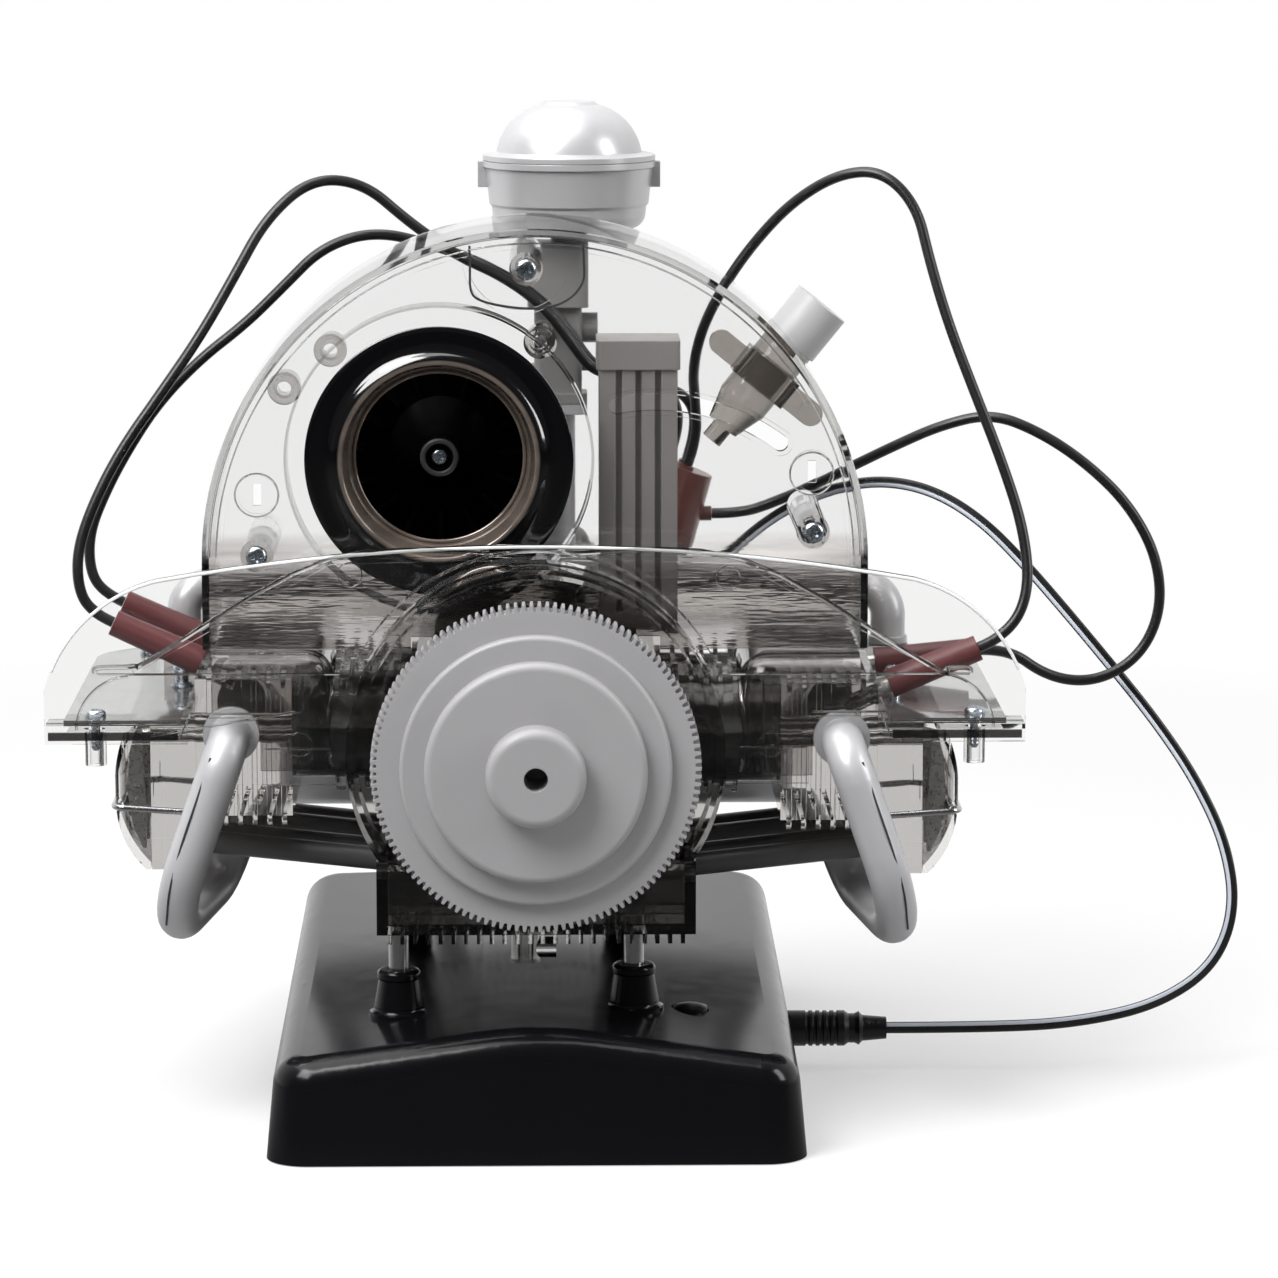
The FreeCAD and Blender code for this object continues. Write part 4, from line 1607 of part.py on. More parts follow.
POWER_CABLE = (
    (36.1, 34.0, 110.32), (43.8, 34.0, 112.3), (50.4, 33.4, 118.9), (58.6, 31.2, 124.8),
    (68.4, 28.4, 129.4), (79.6, 25.0, 131.6), (91.0, 21.6, 129.6), (101.8, 17.4, 123.2),
    (111.6, 13.2, 113.4), (121.2, 9.4, 102.4), (130.8, 6.2, 91.0), (140.4, 3.4, 79.2),
    (149.2, 0.8, 66.4), (156.2, -1.4, 51.8), (158.4, -3.2, 36.8), (153.4, -4.4, 23.8),
    (140.8, -5.0, 15.4), (124.6, -5.0, 11.6), (107.0, -5.0, 10.2),
    (DC_PLUG_END + 0.05, JACK_Y, JACK_Z))
LEADS = {"lead_left_front": LEAD_LEFT_FRONT, "lead_left_back": LEAD_LEFT_BACK,
         "lead_right_front": LEAD_RIGHT_FRONT, "lead_right_back": LEAD_RIGHT_BACK}


def power_plug():
    out = BASE_WIDTH / 2.0 - BASE_LEAN * JACK_Z
    y, z, r = JACK_Y, JACK_Z, DC_PLUG_RADIUS
    ribs = []
    for number in range(PLUG_RIBS):
        rib = out + PLUG_RIBS_START + PLUG_RIB_STEP * number
        ribs += [(rib, r), (rib + 0.2, r - 0.35), (rib + 0.7, r - 0.35), (rib + 0.9, r)]
    return turned_x(y, z, (out - 7.5, 0), (out - 7.5, JACK_BORE - SEAT_GAP), (out, JACK_BORE - SEAT_GAP),
                    (out, r), *ribs, (out + 13.0, r), (out + 14.0, r - 0.7), (out + 15.4, r - 0.7),
                    (out + 16.4, r - 0.2), (DC_PLUG_END - 6.0, r - 0.5), (DC_PLUG_END - 5.4, r - 1.1),
                    (DC_PLUG_END, CABLE_RADIUS + 1.2), (DC_PLUG_END, 0))


def build():
    """Every node of the model by name."""
    nodes = {
        "base_shell": base_shell(),
        "base_plate": base_plate(),
        "battery_cover": battery_cover(),
        "battery_cells": battery_cells(),
        "control_board": control_board(),
        "power_socket": power_socket(),
        "support_posts": support_posts(),
        "start_button": start_button(),
        "crankcase_left": crankcase_half(LEFT),
        "crankcase_right": crankcase_half(RIGHT),
        "sump_cover": sump_cover(),
        "drive_motor": drive_motor(),
        "motor_pinion": motor_pinion(),
        "crankshaft": crankshaft(),
        "flywheel": flywheel(),
        "crank_pulley": crank_pulley(),
        "camshaft": camshaft(),
        "rods_outer": rods(OUTER_PAIR),
        "rods_inner": rods(INNER_PAIR),
        "pistons_outer": pistons(OUTER_PAIR),
        "pistons_inner": pistons(INNER_PAIR),
        "cylinders": barrels(),
        "head_left": cylinder_head(LEFT),
        "head_right": cylinder_head(RIGHT),
        "valve_covers": group([valve_cover(LEFT), valve_cover(RIGHT)]),
        "cover_bails": group([cover_bail(LEFT), cover_bail(RIGHT)]),
        "valve_gear": group(rocker_set(LEFT) + rocker_set(RIGHT)),
        "pushrod_tubes": pushrod_tubes(),
        "spark_plugs": spark_plugs(),
        "plug_boots": plug_boots(),
        "cylinder_tins": group([cylinder_hood(LEFT), cylinder_hood(RIGHT)]),
        "front_tin": front_tin(),
        "side_tins": group([side_tin(LEFT), side_tin(RIGHT)]),
        "shroud_front": shroud_front(),
        "shroud_rear": shroud_rear(),
        "fan_inlet_ring": fan_inlet_ring(),
        "fan": fan(),
        "generator_pulley": generator_pulley(),
        "generator_body": generator_body(),
        "generator_stand": generator_stand(),
        "fan_belt": fan_belt(),
        "oil_cooler": oil_cooler(),
        "carburettor": carburettor(),
        "air_cleaner_bowl": air_cleaner_bowl(),
        "air_cleaner_lid": air_cleaner_lid(),
        "intake_manifold": intake_manifold(),
        "distributor_body": distributor_body(),
        "distributor_cap": distributor_cap(),
        "ignition_coil": ignition_coil(),
        "fuel_pump": fuel_pump(),
        "exhaust_pipes": group([j_pipe(LEFT), j_pipe(RIGHT)]),
        "muffler": muffler(),
        "screws": screws(),
        "power_plug": power_plug(),
        "power_cable": cord("power_cable", POWER_CABLE, CABLE_RADIUS),
    }
    for name, points in LEADS.items():
        nodes[name] = cord(name, points, LEAD_RADIUS)
    return nodes


def main():
    os.makedirs("parts", exist_ok=True)
    for name, shape in build().items():
        shape.exportStep(f"parts/{name}.step")


main()
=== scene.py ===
import logging
import math
from dataclasses import dataclass
from enum import Enum
from typing import ClassVar

import bmesh
import bpy
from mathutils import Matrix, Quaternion, Vector
from mathutils.bvhtree import BVHTree
from mathutils.geometry import interpolate_bezier


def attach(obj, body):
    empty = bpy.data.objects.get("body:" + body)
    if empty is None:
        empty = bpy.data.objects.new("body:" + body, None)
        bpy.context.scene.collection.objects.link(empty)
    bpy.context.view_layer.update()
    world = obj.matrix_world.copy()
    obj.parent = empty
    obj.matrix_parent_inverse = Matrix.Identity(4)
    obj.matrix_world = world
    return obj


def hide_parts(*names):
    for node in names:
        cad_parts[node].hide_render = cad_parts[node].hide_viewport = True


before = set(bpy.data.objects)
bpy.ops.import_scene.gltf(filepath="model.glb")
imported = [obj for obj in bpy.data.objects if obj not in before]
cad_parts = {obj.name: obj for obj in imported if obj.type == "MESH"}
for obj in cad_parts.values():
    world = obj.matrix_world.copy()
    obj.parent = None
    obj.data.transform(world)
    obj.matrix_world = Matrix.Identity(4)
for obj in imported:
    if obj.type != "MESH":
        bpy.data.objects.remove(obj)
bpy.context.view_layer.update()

MM = 0.001
FRONT = Vector((0.0, -1.0, 0.0))
BACK = Vector((0.0, 1.0, 0.0))
UP = Vector((0.0, 0.0, 1.0))
FAN = (-20.7, 144.4)    # the fan shaft's middle, across and up, in millimetres
Point = tuple[float, float, float]
Colour = tuple[float, float, float]
log = logging.getLogger("engine_model")


def metres(points: tuple[Point, ...]) -> list[Vector]:
    """Turns a route's millimetres into metres.

    Args:
        points: The route's points in millimetres.

    Returns:
        The same points in metres.
    """
    return [Vector(point) * MM for point in points]


class Bank(Enum):
    """The side of the engine that a piece is on."""
    LEFT = -1
    RIGHT = 1


# ---- forms ------------------------------------------------------------------------------------
class Form:
    """One mesh while it is being made, in millimetres."""

    def __init__(self) -> None:
        """Starts with nothing in it."""
        self.bm = bmesh.new()

    def row(self, points: list[Vector]) -> list[bmesh.types.BMVert]:
        """Adds points.

        Args:
            points: Where they are.

        Returns:
            The new vertices, in the same order.
        """
        return [self.bm.verts.new(point) for point in points]

    def skin(self, rows: list[list[bmesh.types.BMVert]], round_rows: bool = False,
             slots: tuple[int, ...] = ()) -> None:
        """Covers the space between closed rows of vertices with faces.

        Args:
            rows: The rows, each as long as the next, or of one vertex.
            round_rows: True where the last row joins the first.
            slots: The material slot of each face along a row, or nothing for slot 0.
        """
        following = rows[1:] + (rows[:1] if round_rows else [])
        for low, high in zip(rows, following):
            count = max(len(low), len(high))
            for k in range(count):
                n = (k + 1) % count
                corners = (low[k % len(low)], low[n % len(low)], high[n % len(high)], high[k % len(high)])
                face = self.bm.faces.new(list(dict.fromkeys(corners)))
                face.material_index = slots[k] if slots else 0

    def turned(self, profile: list[tuple[float, float]], centre: Vector, along: Vector,
               steps: int = 64, hollow: bool = False) -> None:
        """Turns a profile about an axis.

        Args:
            profile: Each point's distance along the axis and its radius.
            centre: A point on the axis, from which the distances count.
            along: The axis.
            steps: How many faces go round.
            hollow: True where the profile is a closed loop clear of the axis.
        """
        along = along.normalized()
        first = along.orthogonal().normalized()
        second = along.cross(first)
        rows = []
        for distance, radius in profile:
            middle = centre + along * distance
            if radius < 1e-6:
                rows.append(self.row([middle]))
                continue
            turns = [2 * math.pi * k / steps for k in range(steps)]
            rows.append(self.row([middle + (first * math.cos(t) + second * math.sin(t)) * radius
                                  for t in turns]))
        self.skin(rows, hollow)

    def swept(self, path: list[Vector], section: list[tuple[float, float]], facing: Vector,
              loop: bool = False, slots: tuple[int, ...] = ()) -> None:
        """Draws a section along a path.

        Args:
            path: The points that it follows.
            section: The section's points, each across the path and out from it.
            facing: The way that out points to.
            loop: True where the path closes on itself.
            slots: The material slot of each face round the section.
        """
        rows = []
        last = len(path) - 1
        for k, point in enumerate(path):
            ahead = path[(k + 1) % len(path)] if loop or k < last else point
            behind = path[k - 1] if loop or k else point
            tangent = (ahead - behind).normalized()
            out = (facing - tangent * facing.dot(tangent)).normalized()
            side = tangent.cross(out)
            rows.append(self.row([point + side * x + out * y for x, y in section]))
        self.skin(rows, loop, slots)
        if not loop:
            self.bm.faces.new(rows[0][::-1])
            self.bm.faces.new(rows[-1])

    def prism(self, corners: list[Vector], depth: Vector) -> None:
        """Gives a flat outline a thickness.

        Args:
            corners: The outline's corners in order.
            depth: How far the far face is moved.
        """
        near = self.row(corners)
        far = self.row([corner + depth for corner in corners])
        self.bm.faces.new(near[::-1])
        self.bm.faces.new(far)
        self.skin([near, far])

    def mesh(self, name: str, sharp: float = 32.0) -> bpy.types.Mesh:
        """Ends the work.

        Args:
            name: The mesh's name.
            sharp: The angle in degrees above which an edge stays sharp.

        Returns:
            The mesh, in metres.
        """
        bmesh.ops.recalc_face_normals(self.bm, faces=self.bm.faces)
        bmesh.ops.scale(self.bm, vec=(MM, MM, MM), verts=self.bm.verts)
        made = bpy.data.meshes.new(name)
        self.bm.to_mesh(made)
        self.bm.free()
        made.shade_smooth()
        made.set_sharp_from_angle(angle=math.radians(sharp))
        return made


def raised_line(width: float, height: float) -> list[tuple[float, float]]:
    """The section of a fine moulded line.

    Args:
        width: Its width in millimetres.
        height: How far it stands out.

    Returns:
        The section's points.
    """
    half = width / 2
    foot = 0.03
    shoulder, rise = half * 0.7, height * 0.75
    return [(-half, foot), (half, foot), (shoulder, rise), (0.0, height), (-shoulder, rise)]


def circle_xz(x: float, z: float, radius: float, y: float, start: float = 0.0, end: float = 360.0,
              steps: int = 96) -> list[Vector]:
    """Points on a circle that faces the front.

    Args:
        x: Its middle across the engine.
        z: Its middle's height.
        radius: Its radius.
        y: Its place along the engine.
        start: Where it starts, in degrees from the right.
        end: Where it ends.
        steps: How many points a full circle has.

    Returns:
        The points, without the first one again at the end of a full circle.
    """
    whole = end - start >= 360.0
    count = max(3, int(steps * (end - start) / 360.0))
    turns = [math.radians(start + (end - start) * k / count) for k in range(count if whole else count + 1)]
    return [Vector((x + radius * math.cos(t), y, z + radius * math.sin(t))) for t in turns]


# ---- finishes ---------------------------------------------------------------------------------
class Graph:
    """The node tree of a material or of the room, with short calls to add nodes and join them."""

    def __init__(self, owner: bpy.types.Material | bpy.types.World) -> None:
        """Starts an empty tree.

        Args:
            owner: What the tree belongs to.
        """
        owner.use_nodes = True
        self.owner = owner
        self.tree = owner.node_tree
        self.tree.nodes.clear()
        kind = "OutputWorld" if isinstance(owner, bpy.types.World) else "OutputMaterial"
        self.out = self.tree.nodes.new("ShaderNode" + kind)

    def node(self, kind: str, inputs: dict | None = None, **settings: object) -> bpy.types.Node:
        """Adds a node.

        Args:
            kind: The node's type without the word ShaderNode.
            inputs: What goes into its sockets, by name or number: a value, or a socket to join.
            settings: The node's own settings.

        Returns:
            The new node.
        """
        made = self.tree.nodes.new("ShaderNode" + kind)
        for key, value in settings.items():
            setattr(made, key, value)
        for key, value in (inputs or {}).items():
            if isinstance(value, bpy.types.NodeSocket):
                self.tree.links.new(value, made.inputs[key])
            else:
                made.inputs[key].default_value = value
        return made

    def place(self) -> bpy.types.NodeSocket:
        """The point's place in metres, as a socket."""
        return self.node("TexCoord").outputs["Object"]

    def noise(self, scale: float, detail: float = 3.0,
              stretch: Point = (1.0, 1.0, 1.0)) -> bpy.types.NodeSocket:
        """Adds a noise pattern.

        Args:
            scale: Patches per metre.
            detail: How many finer layers it has.
            stretch: Its scale along each axis.

        Returns:
            The pattern's value, from 0 to 1.
        """
        at = self.node("Mapping", {"Vector": self.place(), "Scale": stretch}).outputs[0]
        return self.node("TexNoise", {"Vector": at, "Scale": scale, "Detail": detail}).outputs["Fac"]

    def between(self, value: bpy.types.NodeSocket, low: float, high: float,
                start: float = 0.3, end: float = 0.7) -> bpy.types.NodeSocket:
        """Spreads a pattern over a range.

        Args:
            value: The pattern.
            low: What start becomes.
            high: What end becomes.
            start: The pattern's lowest value that counts.
            end: The pattern's highest value that counts.

        Returns:
            The new value.
        """
        return self.node("MapRange", {"Value": value, "From Min": start, "From Max": end,
                                      "To Min": low, "To Max": high}).outputs[0]

    def blend(self, share: bpy.types.NodeSocket, first: Colour, second: Colour) -> bpy.types.NodeSocket:
        """Mixes two colours.

        Args:
            share: How much of the second, from 0 to 1.
            first: The colour at 0.
            second: The colour at 1.

        Returns:
            The mixed colour.
        """
        return self.node("Mix", {0: share, 6: (*first, 1.0), 7: (*second, 1.0)},
                         data_type="RGBA").outputs[2]

    def bump(self, height: bpy.types.NodeSocket, depth: float,
             round_edge: float = 0.0) -> bpy.types.NodeSocket:
        """Turns a pattern into relief.

        Args:
            height: The pattern.
            depth: Its depth in millimetres.
            round_edge: How far the light rounds each sharp edge, in millimetres.

        Returns:
            The bent normal.
        """
        inputs = {"Height": height, "Distance": depth * MM}
        if round_edge:
            inputs["Normal"] = self.node("Bevel", {"Radius": round_edge * MM}, samples=4).outputs[0]
        return self.node("Bump", inputs).outputs[0]

    def mix(self, share: bpy.types.NodeSocket, first: bpy.types.NodeSocket,
            second: bpy.types.NodeSocket) -> bpy.types.NodeSocket:
        """Mixes two shaders.

        Args:
            share: How much of the second, from 0 to 1.
            first: The shader at 0.
            second: The shader at 1.

        Returns:
            The mixed shader.
        """
        return self.node("MixShader", {0: share, 1: first, 2: second}).outputs[0]

    def glass(self, tint: bpy.types.NodeSocket, rough: object, bend: float,
              normal: bpy.types.NodeSocket) -> bpy.types.NodeSocket:
        """Adds a shader that lets light through and bends it.

        Args:
            tint: What one face lets through.
            rough: Its roughness, or the socket of it.
            bend: Its index of refraction.
            normal: Its normal.

        Returns:
            The shader.
        """
        return self.node("BsdfPrincipled", {"Base Color": tint, "Roughness": rough, "IOR": bend,
                                            "Transmission Weight": 1.0, "Normal": normal}).outputs[0]

    def matt(self, level: float) -> bpy.types.NodeSocket:
        """Adds a matt grey shader.

        Args:
            level: How light it is.

        Returns:
            The shader.
        """
        return self.node("BsdfDiffuse", {"Color": (level, level, level, 1.0)}).outputs[0]

    def unbent(self) -> bpy.types.NodeSocket:
        """1 for the rays of shadows and diffuse light, which pass clear plastic without a bend."""
        path = self.node("LightPath").outputs
        return self.maths("MAXIMUM", path["Is Shadow Ray"], path["Is Diffuse Ray"])

    def offset(self, origin: Point) -> bpy.types.NodeSocket:
        """How far the shaded point lies from another, along each axis, in metres.

        Args:
            origin: The other point in millimetres.

        Returns:
            The offset.
        """
        return self.node("VectorMath", {0: self.place(), 1: Vector(origin) * MM},
                         operation="SUBTRACT").outputs[0]

    def along(self, origin: Point, way: Point) -> bpy.types.NodeSocket:
        """How far a point lies along a line.

        Args:
            origin: Where the line starts, in millimetres.
            way: The line's direction, of length 1.

        Returns:
            The distance in millimetres.
        """
        metre = self.node("VectorMath", {0: self.offset(origin), 1: way},
                          operation="DOT_PRODUCT").outputs["Value"]
        return self.maths("MULTIPLY", metre, 1.0 / MM)

    def choose(self, share: bpy.types.NodeSocket, first: object, second: object) -> bpy.types.NodeSocket:
        """Mixes two numbers.

        Args:
            share: How much of the second, from 0 to 1.
            first: The number at 0, or its socket.
            second: The number at 1, or its socket.

        Returns:
            The mixed number.
        """
        return self.node("Mix", {0: share, 2: first, 3: second}).outputs[0]

    def maths(self, what: str, first: object, second: object) -> bpy.types.NodeSocket:
        """Works out a number.

        Args:
            what: The Math node's operation.
            first: Its first number, or its socket.
            second: Its second number, or its socket.

        Returns:
            The result.
        """
        return self.node("Math", {0: first, 1: second}, operation=what).outputs[0]

    def finish(self, shader: bpy.types.NodeSocket) -> bpy.types.Material | bpy.types.World:
        """Joins the last shader to the output.

        Args:
            shader: The shader that the surface shows.

        Returns:
            What the tree belongs to.
        """
        self.tree.links.new(shader, self.out.inputs["Surface"])
        return self.owner


def shade(colour: Colour, by: float) -> Colour:
    """Makes a colour darker or lighter.

    Args:
        colour: The colour to start from.
        by: What each part is multiplied by.

    Returns:
        The new colour.
    """
    return tuple(min(1.0, part * by) for part in colour)


@dataclass(frozen=True)
class Moulded:
    """Opaque moulded plastic or rubber, with flow marks, uneven gloss and a fine grain.

    Attributes:
        name: The finish's name.
        colour: Its colour.
        rough: Its middle roughness.
        spread: How far the roughness wanders.
        vary: How far the colour wanders.
        grain: Grains per metre.
        depth: The grain's depth in millimetres.
        coat: A clear gloss over it.
        metal: How metallic its pigment is.
        edge: How far the light rounds its sharp edges, in millimetres.
        gloss: Its specular level.
    """
    name: str
    colour: Colour
    rough: float = 0.4
    spread: float = 0.06
    vary: float = 0.06
    grain: float = 2600.0
    depth: float = 0.008
    coat: float = 0.0
    metal: float = 0.0
    edge: float = 0.25
    gloss: float = 0.5

    def tint(self, g: Graph) -> bpy.types.NodeSocket:
        """The colour, which wanders a little along the flow of the plastic.

        Args:
            g: The material's graph.

        Returns:
            The colour.
        """
        return g.blend(g.between(g.noise(48.0), 0.0, 1.0), shade(self.colour, 1 - self.vary),
                       shade(self.colour, 1 + self.vary))

    def wear(self, g: Graph) -> bpy.types.NodeSocket:
        """The roughness, which wanders in patches.

        Args:
            g: The material's graph.

        Returns:
            The roughness.
        """
        return g.between(g.noise(150.0, 4.0), self.rough - self.spread, self.rough + self.spread)

    def material(self) -> bpy.types.Material:
        """Builds the material."""
        g = Graph(bpy.data.materials.new(self.name))
        normal = g.bump(g.noise(self.grain, 2.0), self.depth, self.edge)
        shader = g.node("BsdfPrincipled", {
            "Base Color": self.tint(g), "Roughness": self.wear(g), "Normal": normal, "Metallic": self.metal,
            "Specular IOR Level": self.gloss, "Coat Weight": self.coat, "Coat Roughness": 0.08})
        return g.finish(shader.outputs[0])


@dataclass(frozen=True)
class LippedRing(Moulded):
    """The inlet ring's gloss black, with a paler, half metallic lip in its throat that carries a painted
    brownish reflection.

    Attributes:
        middle: The ring's middle in millimetres.
        lip: The colour of the painted reflection on the lip.
        lip_radius: Where the lip ends, in millimetres.
        lip_blur: Half the width over which it ends.
        lip_metal: How metallic it is.
    """
    middle: Point = (FAN[0], 0.0, FAN[1])
    lip: Colour = (0.20, 0.162, 0.138)
    lip_radius: float = 21.6
    lip_blur: float = 0.35
    lip_metal: float = 0.45

    def material(self) -> bpy.types.Material:
        """Builds the material."""
        g = Graph(bpy.data.materials.new(self.name))
        flat = g.node("VectorMath", {0: g.offset(self.middle), 1: (1.0, 0.0, 1.0)},
                      operation="MULTIPLY").outputs[0]
        radius = g.node("VectorMath", {0: flat}, operation="LENGTH").outputs["Value"]
        lip_reflection_mask = g.between(radius, 1.0, 0.0, (self.lip_radius - self.lip_blur) * MM,
                           (self.lip_radius + self.lip_blur) * MM)
        # Painted reflection: a brownish colour, smeared upright, on the lip stands in for the surroundings
        # mirrored in the throat.
        reflection_smears = g.between(g.noise(90.0, 4.0, (1.0, 1.0, 3.0)), 0.75, 1.2)
        lip = g.node("Mix", {0: reflection_smears, 6: (0.0, 0.0, 0.0, 1.0), 7: (*self.lip, 1.0)}, data_type="RGBA",
                     clamp_factor=False).outputs[2]
        colour = g.node("Mix", {0: lip_reflection_mask, 6: self.tint(g), 7: lip}, data_type="RGBA").outputs[2]
        shader = g.node("BsdfPrincipled", {
            "Base Color": colour, "Roughness": self.wear(g),
            "Metallic": g.maths("MULTIPLY", lip_reflection_mask, self.lip_metal),
            "Normal": g.bump(g.noise(self.grain, 2.0), self.depth), "Coat Weight": self.coat,
            "Coat Roughness": 0.06})
        return g.finish(shader.outputs[0])


@dataclass(frozen=True)
class Clear:
    """See-through moulded plastic, which bends light and lets it through to what stands behind it.

    Attributes:
        name: The finish's name.
        tint: What one face lets through.
        rough: Its roughness.
        ripple: The depth of its mould ripple in millimetres.
        flow: Ripples per metre.
        milk: How much of it is cloudy.
        steep: What share of that a face lets through where it is seen edge on.
        layers: How many faces a ray passes bent before it goes straight on.
        bend: Its index of refraction.
    """
    name: str
    tint: Colour
    rough: float = 0.03
    ripple: float = 0.03
    flow: float = 45.0
    milk: float = 0.0
    steep: float = 0.45
    layers: float = 7.5
    bend: float = 1.47

    def shader(self, g: Graph) -> bpy.types.NodeSocket:
        """Builds the plastic's shader.

        Args:
            g: The material's graph.

        Returns:
            The shader.
        """
        streaks = g.noise(self.flow, 3.0, (1.0, 1.0, 1.8))
        normal = g.bump(streaks, self.ripple)
        grazing = g.node("LayerWeight", {"Blend": 0.5, "Normal": normal}).outputs["Facing"]
        tint = g.blend(g.maths("POWER", grazing, 2.2), self.tint, shade(self.tint, self.steep))
        rough = g.between(g.noise(240.0, 4.0), self.rough * 0.5, self.rough * 1.6)
        glass = g.glass(tint, rough, self.bend, normal)
        if self.milk:
            cloud = g.node("BsdfPrincipled", {"Base Color": tint, "Roughness": rough, "Normal": normal})
            share = g.between(g.noise(70.0), self.milk * 0.8, self.milk * 1.2)
            glass = g.mix(share, glass, cloud.outputs[0])
        deep = g.maths("GREATER_THAN", g.node("LightPath").outputs["Transmission Depth"], self.layers)
        through = g.node("BsdfTransparent", {"Color": tint}).outputs[0]
        return g.mix(g.maths("MAXIMUM", g.unbent(), deep), glass, through)

    def material(self) -> bpy.types.Material:
        """Builds the material."""
        g = Graph(bpy.data.materials.new(self.name))
        return g.finish(self.shader(g))


@dataclass(frozen=True)
class PaintedShadeFoot(Clear):
    """The shroud's clear plastic, with a darker, streaky foot behind the front tin that is painted shade and
    painted dark reflections.

    Attributes:
        foot: What one face of the foot lets through, darkened as painted shade and painted reflection.
        top: Where the foot starts to clear, in millimetres above the table.
        fade: Over how many millimetres it clears.
        streak: The depth of the foot's streaks in millimetres.
        foot_rough: The foot's roughness.
    """
    foot: Colour = (0.42, 0.405, 0.395)
    top: float = 118.5
    fade: float = 4.5
    streak: float = 0.9
    foot_rough: float = 0.06

    def shader(self, g: Graph) -> bpy.types.NodeSocket:
        """Builds the plastic's shader.

        Args:
            g: The material's graph.

        Returns:
            The shader.
        """
        height = g.along((0.0, 0.0, 0.0), (0.0, 0.0, 1.0))
        low = g.between(height, 1.0, 0.0, self.top, self.top + self.fade)
        streaks = g.noise(60.0, 4.0, (0.35, 1.0, 3.2))
        # Painted shade and reflections: the foot's colour runs in darker and lighter streaks.
        painted_streak = g.between(streaks, 0.35, 1.0, 0.35, 0.62)
        normal = g.bump(streaks, self.streak)
        tint = g.blend(painted_streak, shade(self.foot, 0.45), shade(self.foot, 1.35))
        through = g.node("BsdfTransparent", {"Color": tint}).outputs[0]
        foot = g.mix(g.unbent(), g.glass(tint, self.foot_rough, self.bend, normal), through)
        return g.mix(low, super().shader(g), foot)


@dataclass(frozen=True)
class CappedCoil(Clear):
    """The coil's smoky case, with a pale cap at its upper end.

    Attributes:
        middle: The coil's middle in millimetres.
        way: The direction of its axis.
        start: Where the cap starts along the axis, in millimetres.
        blur: Half the length over which it starts.
        cap: The cap's colour.
    """
    middle: Point = (51.8, 12.0, 157.3)
    way: Point = (0.6293, 0.0, 0.7771)
    start: float = 8.95
    blur: float = 0.02
    cap: Colour = (0.48, 0.48, 0.48)

    def material(self) -> bpy.types.Material:
        """Builds the material."""
        g = Graph(bpy.data.materials.new(self.name))
        capped = g.between(g.along(self.middle, self.way), 0.0, 1.0, self.start - self.blur,
                           self.start + self.blur)
        pale = g.node("BsdfPrincipled", {
            "Base Color": g.blend(g.between(g.noise(60.0), 0.0, 1.0), shade(self.cap, 0.95), self.cap),
            "Roughness": g.between(g.noise(180.0), 0.32, 0.42),
            "Normal": g.bump(g.noise(2600.0, 2.0), 0.008, 0.4)}).outputs[0]
        return g.finish(g.mix(capped, self.shader(g), pale))


@dataclass(frozen=True)
class Metal:
    """Bare or plated metal, with drawn marks and a dulled surface.

    Attributes:
        name: The finish's name.
        colour: Its colour.
        rough: Its middle roughness.
        marks: The drawn marks' scale along each axis.
        depth: The marks' depth in millimetres.
        dull: How much darker its dull patches are.
    """
    name: str
    colour: Colour
    rough: float = 0.28
    marks: Point = (1.0, 1.0, 1.0)
    depth: float = 0.006
    dull: float = 0.18

    def material(self) -> bpy.types.Material:
        """Builds the material."""
        g = Graph(bpy.data.materials.new(self.name))
        lines = g.noise(1500.0, 3.0, self.marks)
        colour = g.blend(g.between(g.noise(120.0), 0.0, 1.0), self.colour, shade(self.colour, 1 - self.dull))
        shader = g.node("BsdfPrincipled", {
            "Base Color": colour, "Metallic": 1.0,
            "Roughness": g.between(lines, self.rough * 0.75, self.rough * 1.3),
            "Normal": g.bump(lines, self.depth, 0.12)})
        return g.finish(shader.outputs[0])


@dataclass(frozen=True)
class Floor:
    """The plain pale floor, which keeps the object's soft shadow and fades out to white.

    Attributes:
        name: The finish's name.
        paint: How light it is to the camera.
        bounce: How light it is to the light that it throws back.
        front: How light its front is in gloss.
        fade: Where its fade to white starts and ends, in metres from the middle.
    """
    name: str = "floor_white"
    paint: float = 0.84
    bounce: float = 0.36
    front: float = 0.06
    fade: tuple[float, float] = (0.28, 0.62)

    def material(self) -> bpy.types.Material:
        """Builds the material."""
        g = Graph(bpy.data.materials.new(self.name))
        path = g.node("LightPath").outputs
        near = g.node("VectorMath", {0: g.place()}, operation="LENGTH").outputs["Value"]
        far = g.between(near, 0.0, 1.0, *self.fade)
        grey = g.matt(self.bounce)
        glow = g.node("Emission", {"Color": (1, 1, 1, 1), "Strength": 1.0}).outputs[0]
        seen = g.mix(g.between(far, 0.45, 1.0, 0.0, 1.0), g.matt(self.paint), glow)
        depth = g.along((0.0, 0.0, 0.0), (0.0, 1.0, 0.0))
        behind = g.mix(g.between(depth, 0.0, 1.0, -150.0, 250.0), g.matt(self.front), glow)
        mirrored = g.mix(path["Is Glossy Ray"], g.mix(far, grey, glow), behind)
        sight = g.maths("MAXIMUM", path["Is Transmission Ray"], path["Is Glossy Ray"])
        other = g.mix(sight, grey, mirrored)
        return g.finish(g.mix(path["Is Camera Ray"], other, seen))


Finish = Moulded | Clear | Metal | Floor

